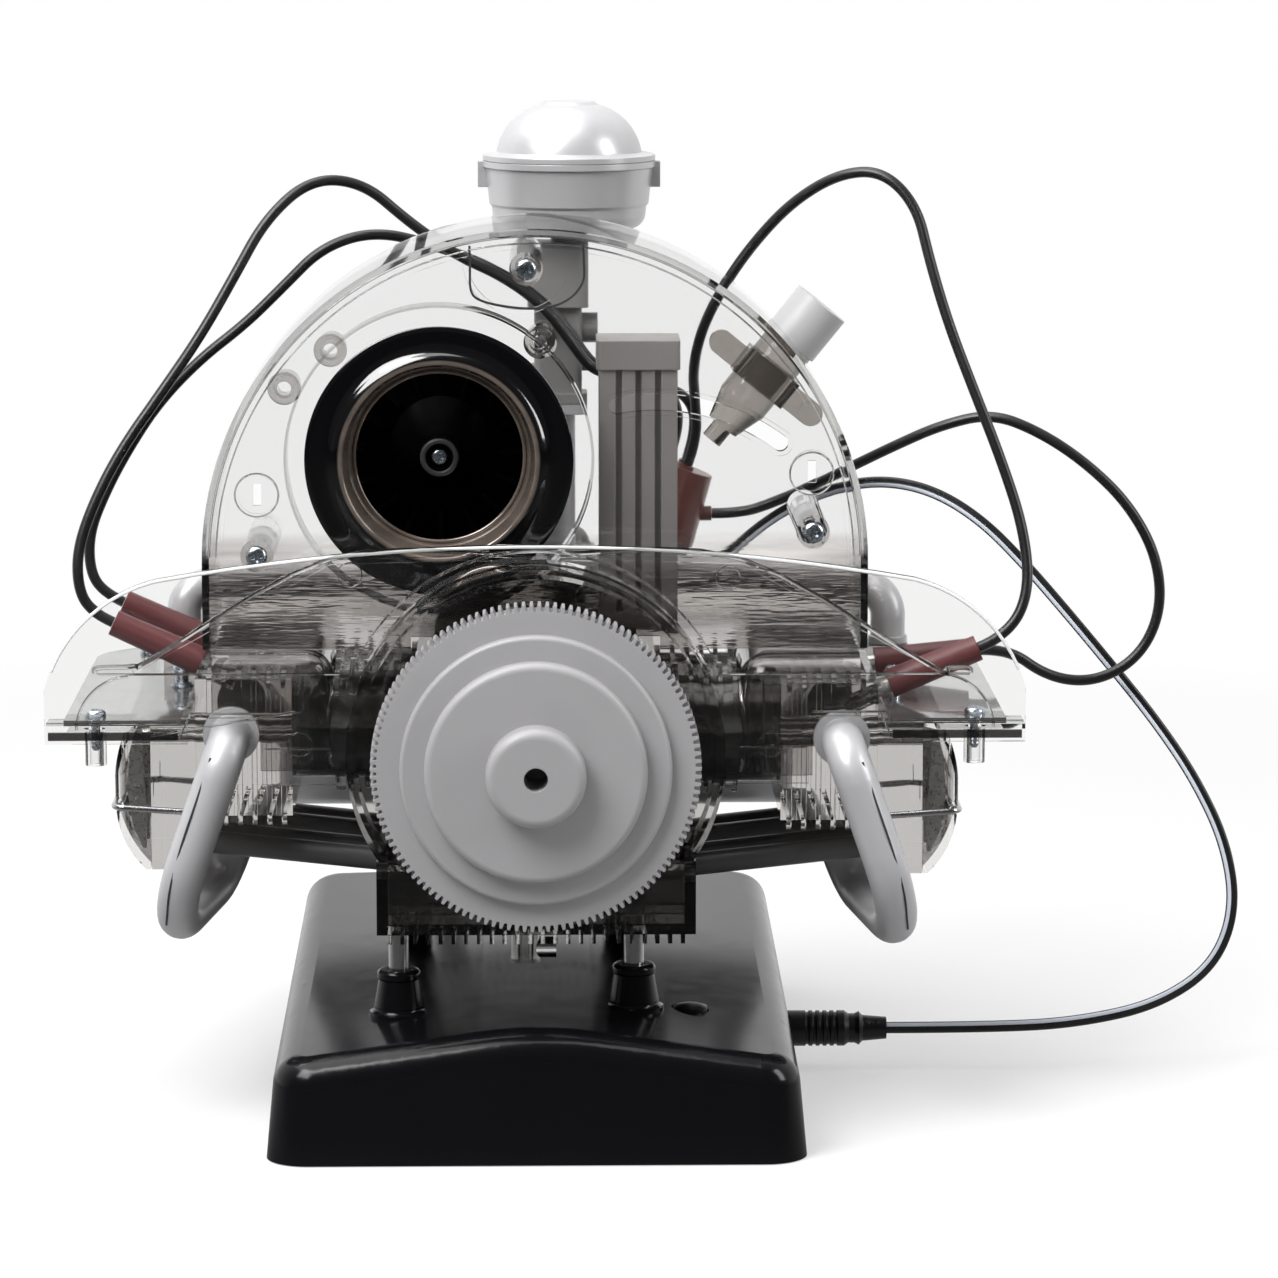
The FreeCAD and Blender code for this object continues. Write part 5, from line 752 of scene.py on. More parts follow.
CLEAR = Clear("clear_styrene", (0.955, 0.952, 0.948), steep=0.25)
# The shroud's foot is darkened with painted shade and painted dark reflections.
SHROUD_CLEAR = PaintedShadeFoot("shroud_styrene", (0.90, 0.898, 0.895), steep=0.22)
SHROUD_BACK = PaintedShadeFoot("shroud_back_styrene", (0.985, 0.985, 0.985), ripple=0.0, steep=0.8, bend=1.12,
                        foot=(0.70, 0.68, 0.66))
COVER_SMOKE = Clear("cover_styrene", (0.86, 0.85, 0.84), 0.03, 0.16, steep=0.25)
# Darker than the clear plastic: painted shade for the dark lines along the fine moulded lines and creases.
SHADED_LINE_CLEAR = Clear("line_styrene_painted_shade", (0.66, 0.66, 0.65), ripple=0.0)
SMOKE = Clear("smoke_styrene", (0.54, 0.525, 0.51), 0.035, 0.12, steep=0.3)
HOOD_SMOKE = Clear("hood_styrene", (0.58, 0.56, 0.545), 0.03, 0.12, steep=0.25)
FIN_SMOKE = Clear("fin_styrene", (0.26, 0.25, 0.24), 0.05, 0.08, steep=0.3)
SUMP_SMOKE = Clear("sump_styrene", (0.55, 0.54, 0.53), 0.05, 0.08)
TIN_SMOKE = Clear("side_tin_styrene", (0.74, 0.74, 0.735), 0.05, 0.06, milk=0.08)
COIL_SMOKE = CappedCoil("coil_styrene", (0.42, 0.39, 0.36), 0.05, 0.05, milk=0.12)
BASE_GLOSS = Moulded("base_gloss_black", (0.0040, 0.0040, 0.0050), 0.17, 0.025, 0.05, 900.0, 0.003, edge=0.0,
                     gloss=0.26)
BASE_MATT = Moulded("base_matt_black", (0.02, 0.02, 0.021), 0.5)
CELL_WRAP = Moulded("cell_wrap_green", (0.05, 0.20, 0.09), 0.35, coat=0.4)
BOARD = Moulded("board_green", (0.02, 0.13, 0.06), 0.35, grain=1500.0)
SOCKET = Moulded("socket_black", (0.007, 0.007, 0.008), 0.30, gloss=0.35)
SLATE = Moulded("tube_slate", (0.085, 0.083, 0.084), 0.36, gloss=0.4)
BOOT = Moulded("boot_oxblood", (0.115, 0.026, 0.028), 0.40, 0.06, 0.14, 900.0, 0.02)
# Gloss black, with a painted brownish reflection on the lip in its throat.
RING_BLACK = LippedRing("inlet_gloss_black", (0.0020, 0.0020, 0.0026), 0.10, 0.02, coat=0.9)
FAN_DARK = Moulded("fan_black", (0.0004, 0.0004, 0.0006), 0.45, gloss=0.03)
HUB_GREY = Moulded("hub_grey", (0.022, 0.022, 0.024), 0.40)
DARK_GREY = Moulded("generator_grey", (0.05, 0.05, 0.053), 0.36)
RUBBER = Moulded("belt_rubber", (0.018, 0.018, 0.018), 0.7, depth=0.03)
COOLER_GREY = Moulded("cooler_grey", (0.33, 0.312, 0.306), 0.38, 0.05, 0.03, edge=0.45)
CARB_GREY = Moulded("carburettor_grey", (0.27, 0.265, 0.262), 0.36, edge=0.4)
CLEANER_SILVER = Moulded("cleaner_silver", (0.55, 0.55, 0.56), 0.34, 0.04, 0.04, 4200.0, 0.01, metal=0.40)
PIPE_SILVER = Moulded("pipe_silver", (0.53, 0.53, 0.545), 0.36, 0.05, 0.05, 4200.0, 0.01, metal=0.25)
# A painted highlight: the pale line along the front tin's upper edge.
EDGE_HIGHLIGHT_PALE = Moulded("edge_painted_highlight", (0.86, 0.86, 0.86), 0.25)
# Painted shade: the dark strips under the front tin's shelves.
SHELF_SHADE_DARK = Clear("shelf_shade_styrene", (0.05, 0.045, 0.045), 0.05, 0.0)
# Dark: the pipes' mould seams, and painted shade along the shroud's recess.
SEAM_AND_SHADE_DARK = Moulded("seam_and_shade_dark", (0.035, 0.035, 0.037), 0.5)
CRANK_GREY = Moulded("crank_grey", (0.36, 0.36, 0.365), 0.36, metal=0.3)
FLYWHEEL_GREY = Moulded("flywheel_grey", (0.345, 0.338, 0.346), 0.42, 0.04, 0.02, 3800.0, 0.006)
PULLEY_GREY = Moulded("pulley_grey", (0.34, 0.34, 0.35), 0.38)
PISTON_GREY = Moulded("piston_grey", (0.46, 0.46, 0.47), 0.32, metal=0.4)
GEAR_WHITE = Moulded("gear_white", (0.72, 0.72, 0.70), 0.42)
CAP_BROWN = Moulded("cap_bakelite", (0.120, 0.042, 0.034), 0.30, 0.05, 0.20, 700.0, 0.02, coat=0.2)
STEEL = Metal("post_steel", (0.62, 0.62, 0.63), 0.22, (1.0, 1.0, 0.12))
MOTOR_STEEL = Metal("motor_steel", (0.55, 0.55, 0.56), 0.3, (1.0, 0.15, 1.0))
VALVE_STEEL = Metal("valve_steel", (0.58, 0.57, 0.55), 0.3)
ZINC = Metal("screw_zinc", (0.62, 0.68, 0.74), 0.24, (1.0, 1.0, 1.0), 0.01, 0.35)
LEAD_BLACK = Moulded("lead_black", (0.010, 0.010, 0.011), 0.34, 0.06, 0.1, 1400.0, 0.02)
CABLE_BLACK = Moulded("cable_black", (0.012, 0.012, 0.013), 0.30)
CABLE_STRIPE = Moulded("cable_stripe", (0.62, 0.66, 0.74), 0.38)


class FinishShelf:
    """Builds each finish once and hands it out again."""

    def __init__(self) -> None:
        """Starts with nothing built."""
        self.built: dict[str, bpy.types.Material] = {}

    def get(self, finish: Finish) -> bpy.types.Material:
        """The material of a finish.

        Args:
            finish: Any of the finish classes above.

        Returns:
            Its material, built the first time it is asked for.
        """
        if finish.name not in self.built:
            self.built[finish.name] = finish.material()
        return self.built[finish.name]


SHELF = FinishShelf()


def dress_node(name: str, finish: Finish) -> None:
    """Gives a node of the frame its finish.

    Args:
        name: The node's name.
        finish: The finish that it wears.
    """
    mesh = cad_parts[name].data
    mesh.materials.clear()
    mesh.materials.append(SHELF.get(finish))
    log.info("dressed %s in %s", name, finish.name)


def add_piece(name: str, data: bpy.types.ID, finish: Finish,
              body: str = "stand") -> bpy.types.Object:
    """Puts a new piece into the scene.

    Args:
        name: The piece's name.
        data: Its mesh or curve.
        finish: The finish that it wears.
        body: The body that it rides on.

    Returns:
        The new piece.
    """
    piece = bpy.data.objects.new(name, data)
    bpy.context.scene.collection.objects.link(piece)
    data.materials.append(SHELF.get(finish))
    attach(piece, body)
    log.info("made %s", name)
    return piece


def surface(node: str) -> BVHTree:
    """Reads a node's surface, to search or to look along.

    Args:
        node: The node's name.

    Returns:
        The surface in millimetres.
    """
    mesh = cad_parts[node].data
    return BVHTree.FromPolygons([vertex.co / MM for vertex in mesh.vertices],
                                [tuple(polygon.vertices) for polygon in mesh.polygons])


def on_surface(node: str, points: list[Point]) -> list[Vector]:
    """Moves points to the nearest place on a node.

    Args:
        node: The node's name.
        points: The points in millimetres.

    Returns:
        The moved points in millimetres.
    """
    tree = surface(node)
    return [tree.find_nearest(Vector(point))[0] for point in points]


def smooth_path(points: list[Vector], steps: int = 6) -> list[Vector]:
    """Runs a soft line through points.

    Args:
        points: The points.
        steps: How many parts each stretch is cut into.

    Returns:
        The line's points.
    """
    line = []
    for k in range(len(points) - 1):
        before = points[max(k - 1, 0)]
        start, end = points[k], points[k + 1]
        after = points[min(k + 2, len(points) - 1)]
        first = start + (end - before) / 6
        second = end - (after - start) / 6
        line += interpolate_bezier(start, first, second, end, steps + 1)[:-1]
    return line + [points[-1]]


def smooth_profile(profile: list[tuple[float, float]], steps: int = 4) -> list[tuple[float, float]]:
    """Runs a soft line through a profile's points.

    Args:
        profile: The points, each a distance along the axis and a radius.
        steps: How many parts each stretch is cut into.

    Returns:
        The line's points.
    """
    line = smooth_path([Vector((a, r, 0.0)) for a, r in profile], steps)
    return [(point.x, max(point.y, 0.0)) for point in line]


# ---- camera, floor and light ------------------------------------------------------------------
@dataclass
class Lamp:
    """One soft lamp.

    Attributes:
        name: Its name.
        at: Where it stands, in metres.
        size: Its width and height in metres.
        power: Its power in watts.
    """
    name: str
    at: Point
    size: tuple[float, float]
    power: float

    def build(self, target: Vector) -> None:
        """Makes the lamp.

        Args:
            target: The point that it faces.
        """
        data = bpy.data.lights.new(self.name, "AREA")
        data.shape = "RECTANGLE"
        data.size, data.size_y = self.size
        data.energy = self.power
        lamp = bpy.data.objects.new(self.name, data)
        lamp.location = self.at
        lamp.rotation_euler = (target - Vector(self.at)).to_track_quat("-Z", "Y").to_euler()
        bpy.context.scene.collection.objects.link(lamp)


@dataclass
class Studio:
    """The camera, the floor, the lamps and the light all round.

    Attributes:
        eye: Where the camera stands, in metres.
        tilt: The camera's turn from straight down, in degrees.
        pan: The camera's turn about the upright, in degrees.
        lens: Its focal length in millimetres.
        lamps: The lamps.
        sky: How strongly the room lights the object.
        front: How bright the room's front is in gloss.
        above: How bright its ceiling is in gloss and glass.
        aim: The point that the lamps face, in metres.
        reach: Half the floor's side, in metres.
        drop: How far the floor lies under the object, in metres.
    """
    eye: Point = (0.0, -1.1553, 0.2797)
    tilt: float = 81.103
    pan: float = -1.154
    lens: float = 146.48
    lamps: tuple[Lamp, ...] = (
        Lamp("lamp_key", (-0.44, -0.50, 0.78), (0.5, 0.5), 9.0),
        Lamp("lamp_fill", (0.80, -0.30, 0.50), (0.22, 0.60), 3.5),
        Lamp("lamp_top", (-0.22, -0.05, 0.92), (0.9, 0.8), 7.5),
    )
    sky: float = 0.24
    front: float = 0.06
    above: float = 0.12
    aim: Point = (0.0, 0.0, 0.1)
    reach: float = 6.0
    drop: float = 0.0002

    def camera(self) -> None:
        """Makes the camera and hands it to the scene."""
        data = bpy.data.cameras.new("camera")
        data.lens = self.lens
        data.sensor_width = 36.0
        data.clip_start = 0.05
        data.clip_end = 20.0
        camera = bpy.data.objects.new("camera", data)
        camera.location = self.eye
        camera.rotation_euler = (math.radians(self.tilt), 0.0, math.radians(self.pan))
        bpy.context.scene.collection.objects.link(camera)
        bpy.context.scene.camera = camera

    def floor(self) -> None:
        """Makes the floor."""
        mesh = bpy.data.meshes.new("floor")
        far = self.reach
        mesh.from_pydata([(-far, -far, 0), (far, -far, 0), (far, far, 0), (-far, far, 0)], [], [(0, 1, 2, 3)])
        mesh.materials.append(SHELF.get(Floor()))
        floor = bpy.data.objects.new("floor", mesh)
        floor.location = (0.0, 0.0, -self.drop)
        bpy.context.scene.collection.objects.link(floor)

    def room(self) -> None:
        """Lights the world: white where it is looked at, with a dark front that shows in gloss."""
        g = Graph(bpy.data.worlds.new("room"))
        way = g.node("SeparateXYZ", {0: g.node("TexCoord").outputs["Generated"]}).outputs
        mirrored = g.maths("MAXIMUM", g.between(way["Y"], self.front, 1.0, -0.35, 0.45),
                           g.between(way["Z"], 0.0, self.above, 0.45, 0.95))
        bent = g.between(way["Z"], 1.0, self.above, 0.22, 0.6)
        path = g.node("LightPath").outputs
        strength = g.choose(path["Is Glossy Ray"], self.sky, mirrored)
        strength = g.choose(path["Is Transmission Ray"], strength, bent)
        strength = g.choose(path["Is Camera Ray"], strength, 1.0)
        light = g.node("Background", {"Color": (1, 1, 1, 1), "Strength": strength}).outputs[0]
        bpy.context.scene.world = g.finish(light)

    def build(self) -> None:
        """Sets up the whole studio."""
        self.camera()
        self.floor()
        self.room()
        for lamp in self.lamps:
            lamp.build(Vector(self.aim))
        bpy.context.scene.view_settings.view_transform = "Standard"


# ---- sub-assemblies ---------------------------------------------------------------------------
@dataclass
class Assembly:
    """A sub-assembly: the nodes of the frame that it dresses, and the pieces that it adds.

    Attributes:
        wears: The finish of each node that belongs to it.
    """
    wears: ClassVar[dict[str, Finish]] = {}

    def add(self) -> None:
        """Makes its own pieces, where it has any."""

    def build(self) -> None:
        """Dresses the nodes, then makes the pieces."""
        for name, finish in self.wears.items():
            dress_node(name, finish)
        self.add()


@dataclass
class Cord(Assembly):
    """A cord that follows the middle of its node.

    Attributes:
        name: The node that it stands for.
        length: Its length in metres; not used.
        route: Its control points in millimetres.
        diameter: Its diameter in metres.
    """
    name: str
    length: float
    route: tuple[Point, ...]
    diameter: float = 0.0024

    def line(self, bevel: float) -> bpy.types.Curve:
        """Draws the cord's line.

        Args:
            bevel: The cord's radius in metres, or 0 for the bare line.

        Returns:
            The curve.
        """
        curve = bpy.data.curves.new(self.name + "_line", "CURVE")
        curve.dimensions = "3D"
        curve.bevel_depth = bevel
        curve.bevel_resolution = 5
        curve.resolution_u = 10
        curve.use_fill_caps = True
        spline = curve.splines.new("NURBS")
        spline.points.add(len(self.route) - 1)
        for point, at in zip(spline.points, metres(self.route)):
            point.co = (*at, 1.0)
        spline.order_u = 3
        spline.use_endpoint_u = True
        return curve


@dataclass
class PlugLead(Cord):
    """One plug lead of limp round wire."""

    def add(self) -> None:
        piece = add_piece(self.name + "_wire", self.line(self.diameter / 2), LEAD_BLACK)
        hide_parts(self.name)


@dataclass
class PowerCable(Cord):
    """The twin flat cable between the distributor's gland and the power plug.

    Attributes:
        core: The radius of each of its two wires in millimetres.
        spread: How far each wire's middle is from the cable's.
        facing: The way that its flat side faces.
        sweep: How much of each wire's round is drawn, in degrees.
        steps: How many faces that takes.
        stripe: Where the pale stripe starts and ends, in degrees.
    """
    diameter: float = 0.0026
    core: float = 0.68
    spread: float = 0.62
    facing: Point = (0.0, -1.0, 0.25)
    sweep: float = 250.0
    steps: int = 10
    stripe: tuple[float, float] = (38.0, 122.0)

    def path(self) -> list[Vector]:
        """Reads the points of the cable's line, in metres."""
        holder = bpy.data.objects.new(self.name + "_guide", self.line(0.0))
        mesh = bpy.data.meshes.new_from_object(holder)
        points = [vertex.co.copy() for vertex in mesh.vertices]
        bpy.data.objects.remove(holder)
        return points

    def section(self) -> tuple[list[tuple[float, float]], tuple[int, ...]]:
        """The cable's section, two round wires side by side.

        Returns:
            Its points, and the material slot of each face between them.
        """
        points, slots = [], []
        for side in (1, -1):
            for k in range(self.steps + 1):
                degrees = -self.sweep / 2 + self.sweep / self.steps * k
                turn = math.radians(degrees)
                points.append((side * (self.spread + self.core * math.cos(turn)),
                               side * self.core * math.sin(turn)))
                middle = degrees + self.sweep / self.steps / 2
                slots.append(1 if side == 1 and self.stripe[0] < middle < self.stripe[1] else 0)
        return points, tuple(slots)

    def add(self) -> None:
        path = self.path()
        points, slots = self.section()
        form = Form()
        form.swept([point / MM for point in path], points, Vector(self.facing), slots=slots)
        name = self.name + "_twin"
        piece = add_piece(name, form.mesh(name, 60.0), CABLE_BLACK)
        piece.data.materials.append(SHELF.get(CABLE_STRIPE))
        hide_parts(self.name)


@dataclass
class Wiring(Assembly):
    """The four plug leads and the power cable."""

    def add(self) -> None:
        """Makes each cord."""
        for cord in CORDS:
            cord.build()


CORDS = (
    PlugLead("lead_left_front", 0.2407, (
        (-92.59, -25.5, 106.94), (-96.8, -25.45, 108.9), (-100.1, -25.0, 113.5), (-100.5, -23.4, 122.3),
        (-97.0, -21.2, 132.5), (-91.0, -18.0, 144.0), (-82.0, -14.0, 156.5), (-73.6, -10.5, 168.5),
        (-66.4, -6.5, 181.0), (-59.5, -2.0, 193.5), (-49.5, 2.0, 202.2), (-38.0, 6.0, 201.0),
        (-28.0, 8.2, 192.0), (-17.5, 8.8, 184.6), (-6.5, 8.8, 179.6), (2.4, 8.8, 172.8),
        (8.0, 8.8, 165.4), (12.9, 10.5, 158.2), (20.9, 17.5, 156.4), (26.8, 23.8, 155.2),
        (31.6, 29.5, 151.2), (33.5, 34.0, 143.2), (30.94, 34.0, 136.14))),
    PlugLead("lead_left_back", 0.2230, (
        (-92.59, 4.5, 106.94), (-96.8, 4.55, 108.9), (-100.1, 4.9, 113.5), (-100.3, 5.8, 122.3),
        (-96.6, 6.7, 131.5), (-91.6, 7.5, 140.8), (-84.5, 8.0, 151.6), (-75.0, 8.4, 161.4),
        (-64.8, 9.0, 169.2), (-56.2, 9.6, 177.6), (-47.6, 10.4, 186.2), (-36.0, 11.4, 189.8),
        (-23.0, 12.4, 186.8), (-11.0, 12.4, 182.2), (-1.0, 12.4, 176.4), (7.0, 12.4, 168.6),
        (12.6, 14.0, 159.6), (19.0, 21.5, 155.4), (25.5, 28.8, 153.0), (34.4, 36.0, 151.0),
        (37.82, 38.3, 143.38), (34.98, 38.3, 134.68))),
    PlugLead("lead_right_front", 0.2146, (
        (34.98, 29.7, 134.68), (37.2, 29.7, 140.8), (36.6, 26.0, 149.5), (35.8, 19.0, 158.0),
        (37.6, 13.4, 167.4), (42.2, 11.0, 177.0), (49.0, 9.4, 187.0), (57.5, 5.4, 196.6),
        (67.5, 0.0, 203.2), (77.0, -4.4, 204.2), (84.4, -8.0, 196.8), (87.2, -11.4, 184.6),
        (91.2, -14.8, 171.0), (96.6, -18.6, 156.8), (102.4, -22.6, 142.0), (107.2, -26.8, 127.0),
        (108.2, -30.6, 113.6), (103.4, -32.7, 104.6), (96.89, -33.0, 101.94))),
    PlugLead("lead_right_back", 0.1898, (
        (40.7, 34.0, 122.9), (47.6, 33.6, 122.9), (55.0, 31.4, 125.8), (63.0, 27.6, 129.8),
        (71.8, 22.4, 134.8), (81.2, 17.0, 140.2), (91.6, 12.0, 145.6), (103.0, 8.2, 148.8),
        (114.0, 5.4, 144.6), (124.4, 3.6, 137.6), (133.6, 2.4, 128.6), (140.0, 2.0, 117.0),
        (141.2, 2.0, 104.6), (136.4, 1.4, 94.2), (126.6, 0.4, 88.6), (115.6, -1.0, 89.8),
        (105.4, -2.6, 97.4), (97.09, -3.0, 96.41))),
    PowerCable("power_cable", 0.2733, (
        (36.1, 34.0, 110.32), (43.8, 34.0, 112.3), (50.4, 33.4, 118.9), (58.6, 31.2, 124.8),
        (68.4, 28.4, 129.4), (79.6, 25.0, 131.6), (91.0, 21.6, 129.6), (101.8, 17.4, 123.2),
        (111.6, 13.2, 113.4), (121.2, 9.4, 102.4), (130.8, 6.2, 91.0), (140.4, 3.4, 79.2),
        (149.2, 0.8, 66.4), (156.2, -1.4, 51.8), (158.4, -3.2, 36.8), (153.4, -4.4, 23.8),
        (140.8, -5.0, 15.4), (124.6, -5.0, 11.6), (107.0, -5.0, 10.2), (79.25, -5.0, 10.2))),
)


@dataclass
class Base(Assembly):
    """The battery base, with its board, button, power socket, plug and posts."""

    wears = {"base_shell": BASE_GLOSS, "base_plate": BASE_MATT, "battery_cover": BASE_MATT,
             "battery_cells": CELL_WRAP, "control_board": BOARD, "power_socket": SOCKET,
             "power_plug": SOCKET, "support_posts": STEEL, "start_button": SOCKET}


@dataclass
class Crankcase(Assembly):
    """The see-through case with its ribbed sump, and the drive motor in it."""

    wears = {"crankcase_left": SMOKE, "crankcase_right": SMOKE, "sump_cover": SUMP_SMOKE,
             "drive_motor": MOTOR_STEEL, "motor_pinion": GEAR_WHITE}


@dataclass
class CrankTrain(Assembly):
    """Crankshaft, flywheel, camshaft, rods, pistons and pulley."""

    wears = {"crankshaft": CRANK_GREY, "flywheel": FLYWHEEL_GREY, "crank_pulley": PULLEY_GREY,
             "camshaft": CRANK_GREY, "rods_outer": CRANK_GREY, "rods_inner": CRANK_GREY,
             "pistons_outer": PISTON_GREY, "pistons_inner": PISTON_GREY}


@dataclass
class Banks(Assembly):
    """Both cylinder banks: barrels, heads, covers, valve gear, pushrod tubes and plugs."""

    wears = {"cylinders": FIN_SMOKE, "head_left": SMOKE, "head_right": SMOKE,
             "valve_covers": COVER_SMOKE, "cover_bails": STEEL, "valve_gear": VALVE_STEEL,
             "pushrod_tubes": SLATE, "spark_plugs": VALVE_STEEL, "plug_boots": BOOT}


@dataclass
class Tins(Assembly):
    """The front tin, the tins over the barrels and the side tins.

    Attributes:
        face: The front tin's front face along the engine.
        crease: The left and right creases' corners, across and up.
        lines: Straight fine lines, each its ends and its width.
        marks: The middles of the round ejector marks.
        mark_radius: Their radius.
        bend: The curved line in each lower corner: its middle, across and up, and its radius.
        lip: The corners of the dark strip of painted shade under each shelf, across and up.
        edge_step: How far apart the points of the painted highlight along the upper edge are.
        edge_count: How many of them there are to each side of the middle.
        edge_drop: How far under the top the painted highlight runs.
    """
    face: float = -58.0
    crease: tuple[tuple[tuple[float, float], ...], ...] = (
        ((-4.6, 126.2), (-43.6, 125.4), (-81.4, 104.2), (-85.6, 102.4), (-93.4, 102.0), (-94.0, 100.9)),
        ((5.3, 126.2), (43.6, 125.2), (84.2, 102.0), (88.0, 101.5), (92.6, 101.4), (93.2, 100.4)),
    )
    lines: tuple[tuple[float, ...], ...] = (
        (-93.6, 100.6, -41.9, 100.5, 0.5), (93.0, 100.2, 41.7, 100.3, 0.5),
        (-49.7, 100.2, -49.8, 92.8, 0.4), (-82.3, 87.2, -50.1, 92.5, 0.6),
        (48.6, 100.0, 49.8, 78.0, 0.45), (-104.6, 89.9, -76.5, 89.9, 0.5), (76.5, 89.9, 104.6, 89.9, 0.5),
        (43.6, 84.3, 58.0, 84.3, 0.45), (-44.0, 84.3, -58.0, 84.3, 0.45),
        (59.2, 92.0, 73.8, 92.0, 0.5), (-73.8, 92.0, -59.2, 92.0, 0.5),
        (73.8, 92.0, 76.3, 86.4, 0.4), (-73.8, 92.0, -76.3, 86.4, 0.4),
    )
    marks: tuple[tuple[float, float], ...] = ((-39.5, 121.9), (11.2, 117.4), (41.1, 121.0), (50.2, 84.8),
                                              (-50.5, 85.2))
    mark_radius: float = 2.6
    bend: Point = (86.2, 88.2, 12.0)
    lip: tuple[tuple[float, float], ...] = ((76.6, 86.0), (104.4, 86.0), (104.4, 87.7), (76.6, 87.7))
    edge_step: float = 1.5
    edge_count: int = 69
    edge_drop: float = 0.45

    wears = {"cylinder_tins": HOOD_SMOKE, "front_tin": CLEAR, "side_tins": TIN_SMOKE}

    def draw(self, form: Form, points: list[tuple[float, float]], width: float, height: float) -> None:
        """Draws one raised line on the front tin.

        Args:
            form: The form that it goes into.
            points: Its points, across and up.
            width: Its width in millimetres.
            height: How far it stands out.
        """
        path = [Vector((x, self.face, z)) for x, z in points]
        form.swept(path, raised_line(width, height), FRONT)

    def painted_edge_highlight(self) -> None:
        """Draws a pale line along the front tin's thick upper edge: a painted highlight."""
        tree = surface("front_tin")
        points = []
        for step in range(-self.edge_count, self.edge_count + 1):
            over = Vector((step * self.edge_step, self.face + 0.5, 170.0))
            spot = tree.ray_cast(over, -UP)[0]
            if spot:
                points.append(Vector((spot.x, self.face, spot.z - self.edge_drop)))
        form = Form()
        form.swept(points, raised_line(0.75, 0.3), FRONT)
        add_piece("tin_edge_highlight", form.mesh("tin_edge_highlight"), EDGE_HIGHLIGHT_PALE)

    def add(self) -> None:
        """Draws the tin's creases, fine lines and ejector marks, the painted highlight along its upper edge,
        and the dark strips of painted shade under its shelves.
        """
        form = Form()
        for corners in self.crease:
            soft = smooth_path([Vector((x, 0.0, z)) for x, z in corners], 5)
            self.draw(form, [(point.x, point.z) for point in soft], 1.1, 0.55)
        for x, z, other_x, other_z, width in self.lines:
            self.draw(form, [(x, z), (other_x, other_z)], width, 0.3)
        x, z, radius = self.bend
        for side in (-1, 1):
            arc = circle_xz(x, z, radius, 0.0, 2.0, 86.0)
            self.draw(form, [(side * point.x, point.z) for point in arc], 0.6, 0.4)
        for x, z in self.marks:
            form.swept(circle_xz(x, z, self.mark_radius, self.face, steps=40), raised_line(0.28, 0.18),
                       FRONT, loop=True)
        add_piece("tin_mould_lines", form.mesh("tin_mould_lines"), SHADED_LINE_CLEAR)
        self.painted_edge_highlight()
        # Dark strips of painted shade under the shelves.
        shelf_shades = Form()
        for side in (-1, 1):
            shelf_shades.prism([Vector((side * x, self.face + 1.6, z)) for x, z in self.lip], BACK)
        add_piece("tin_shelf_shades", shelf_shades.mesh("tin_shelf_shades"), SHELF_SHADE_DARK)


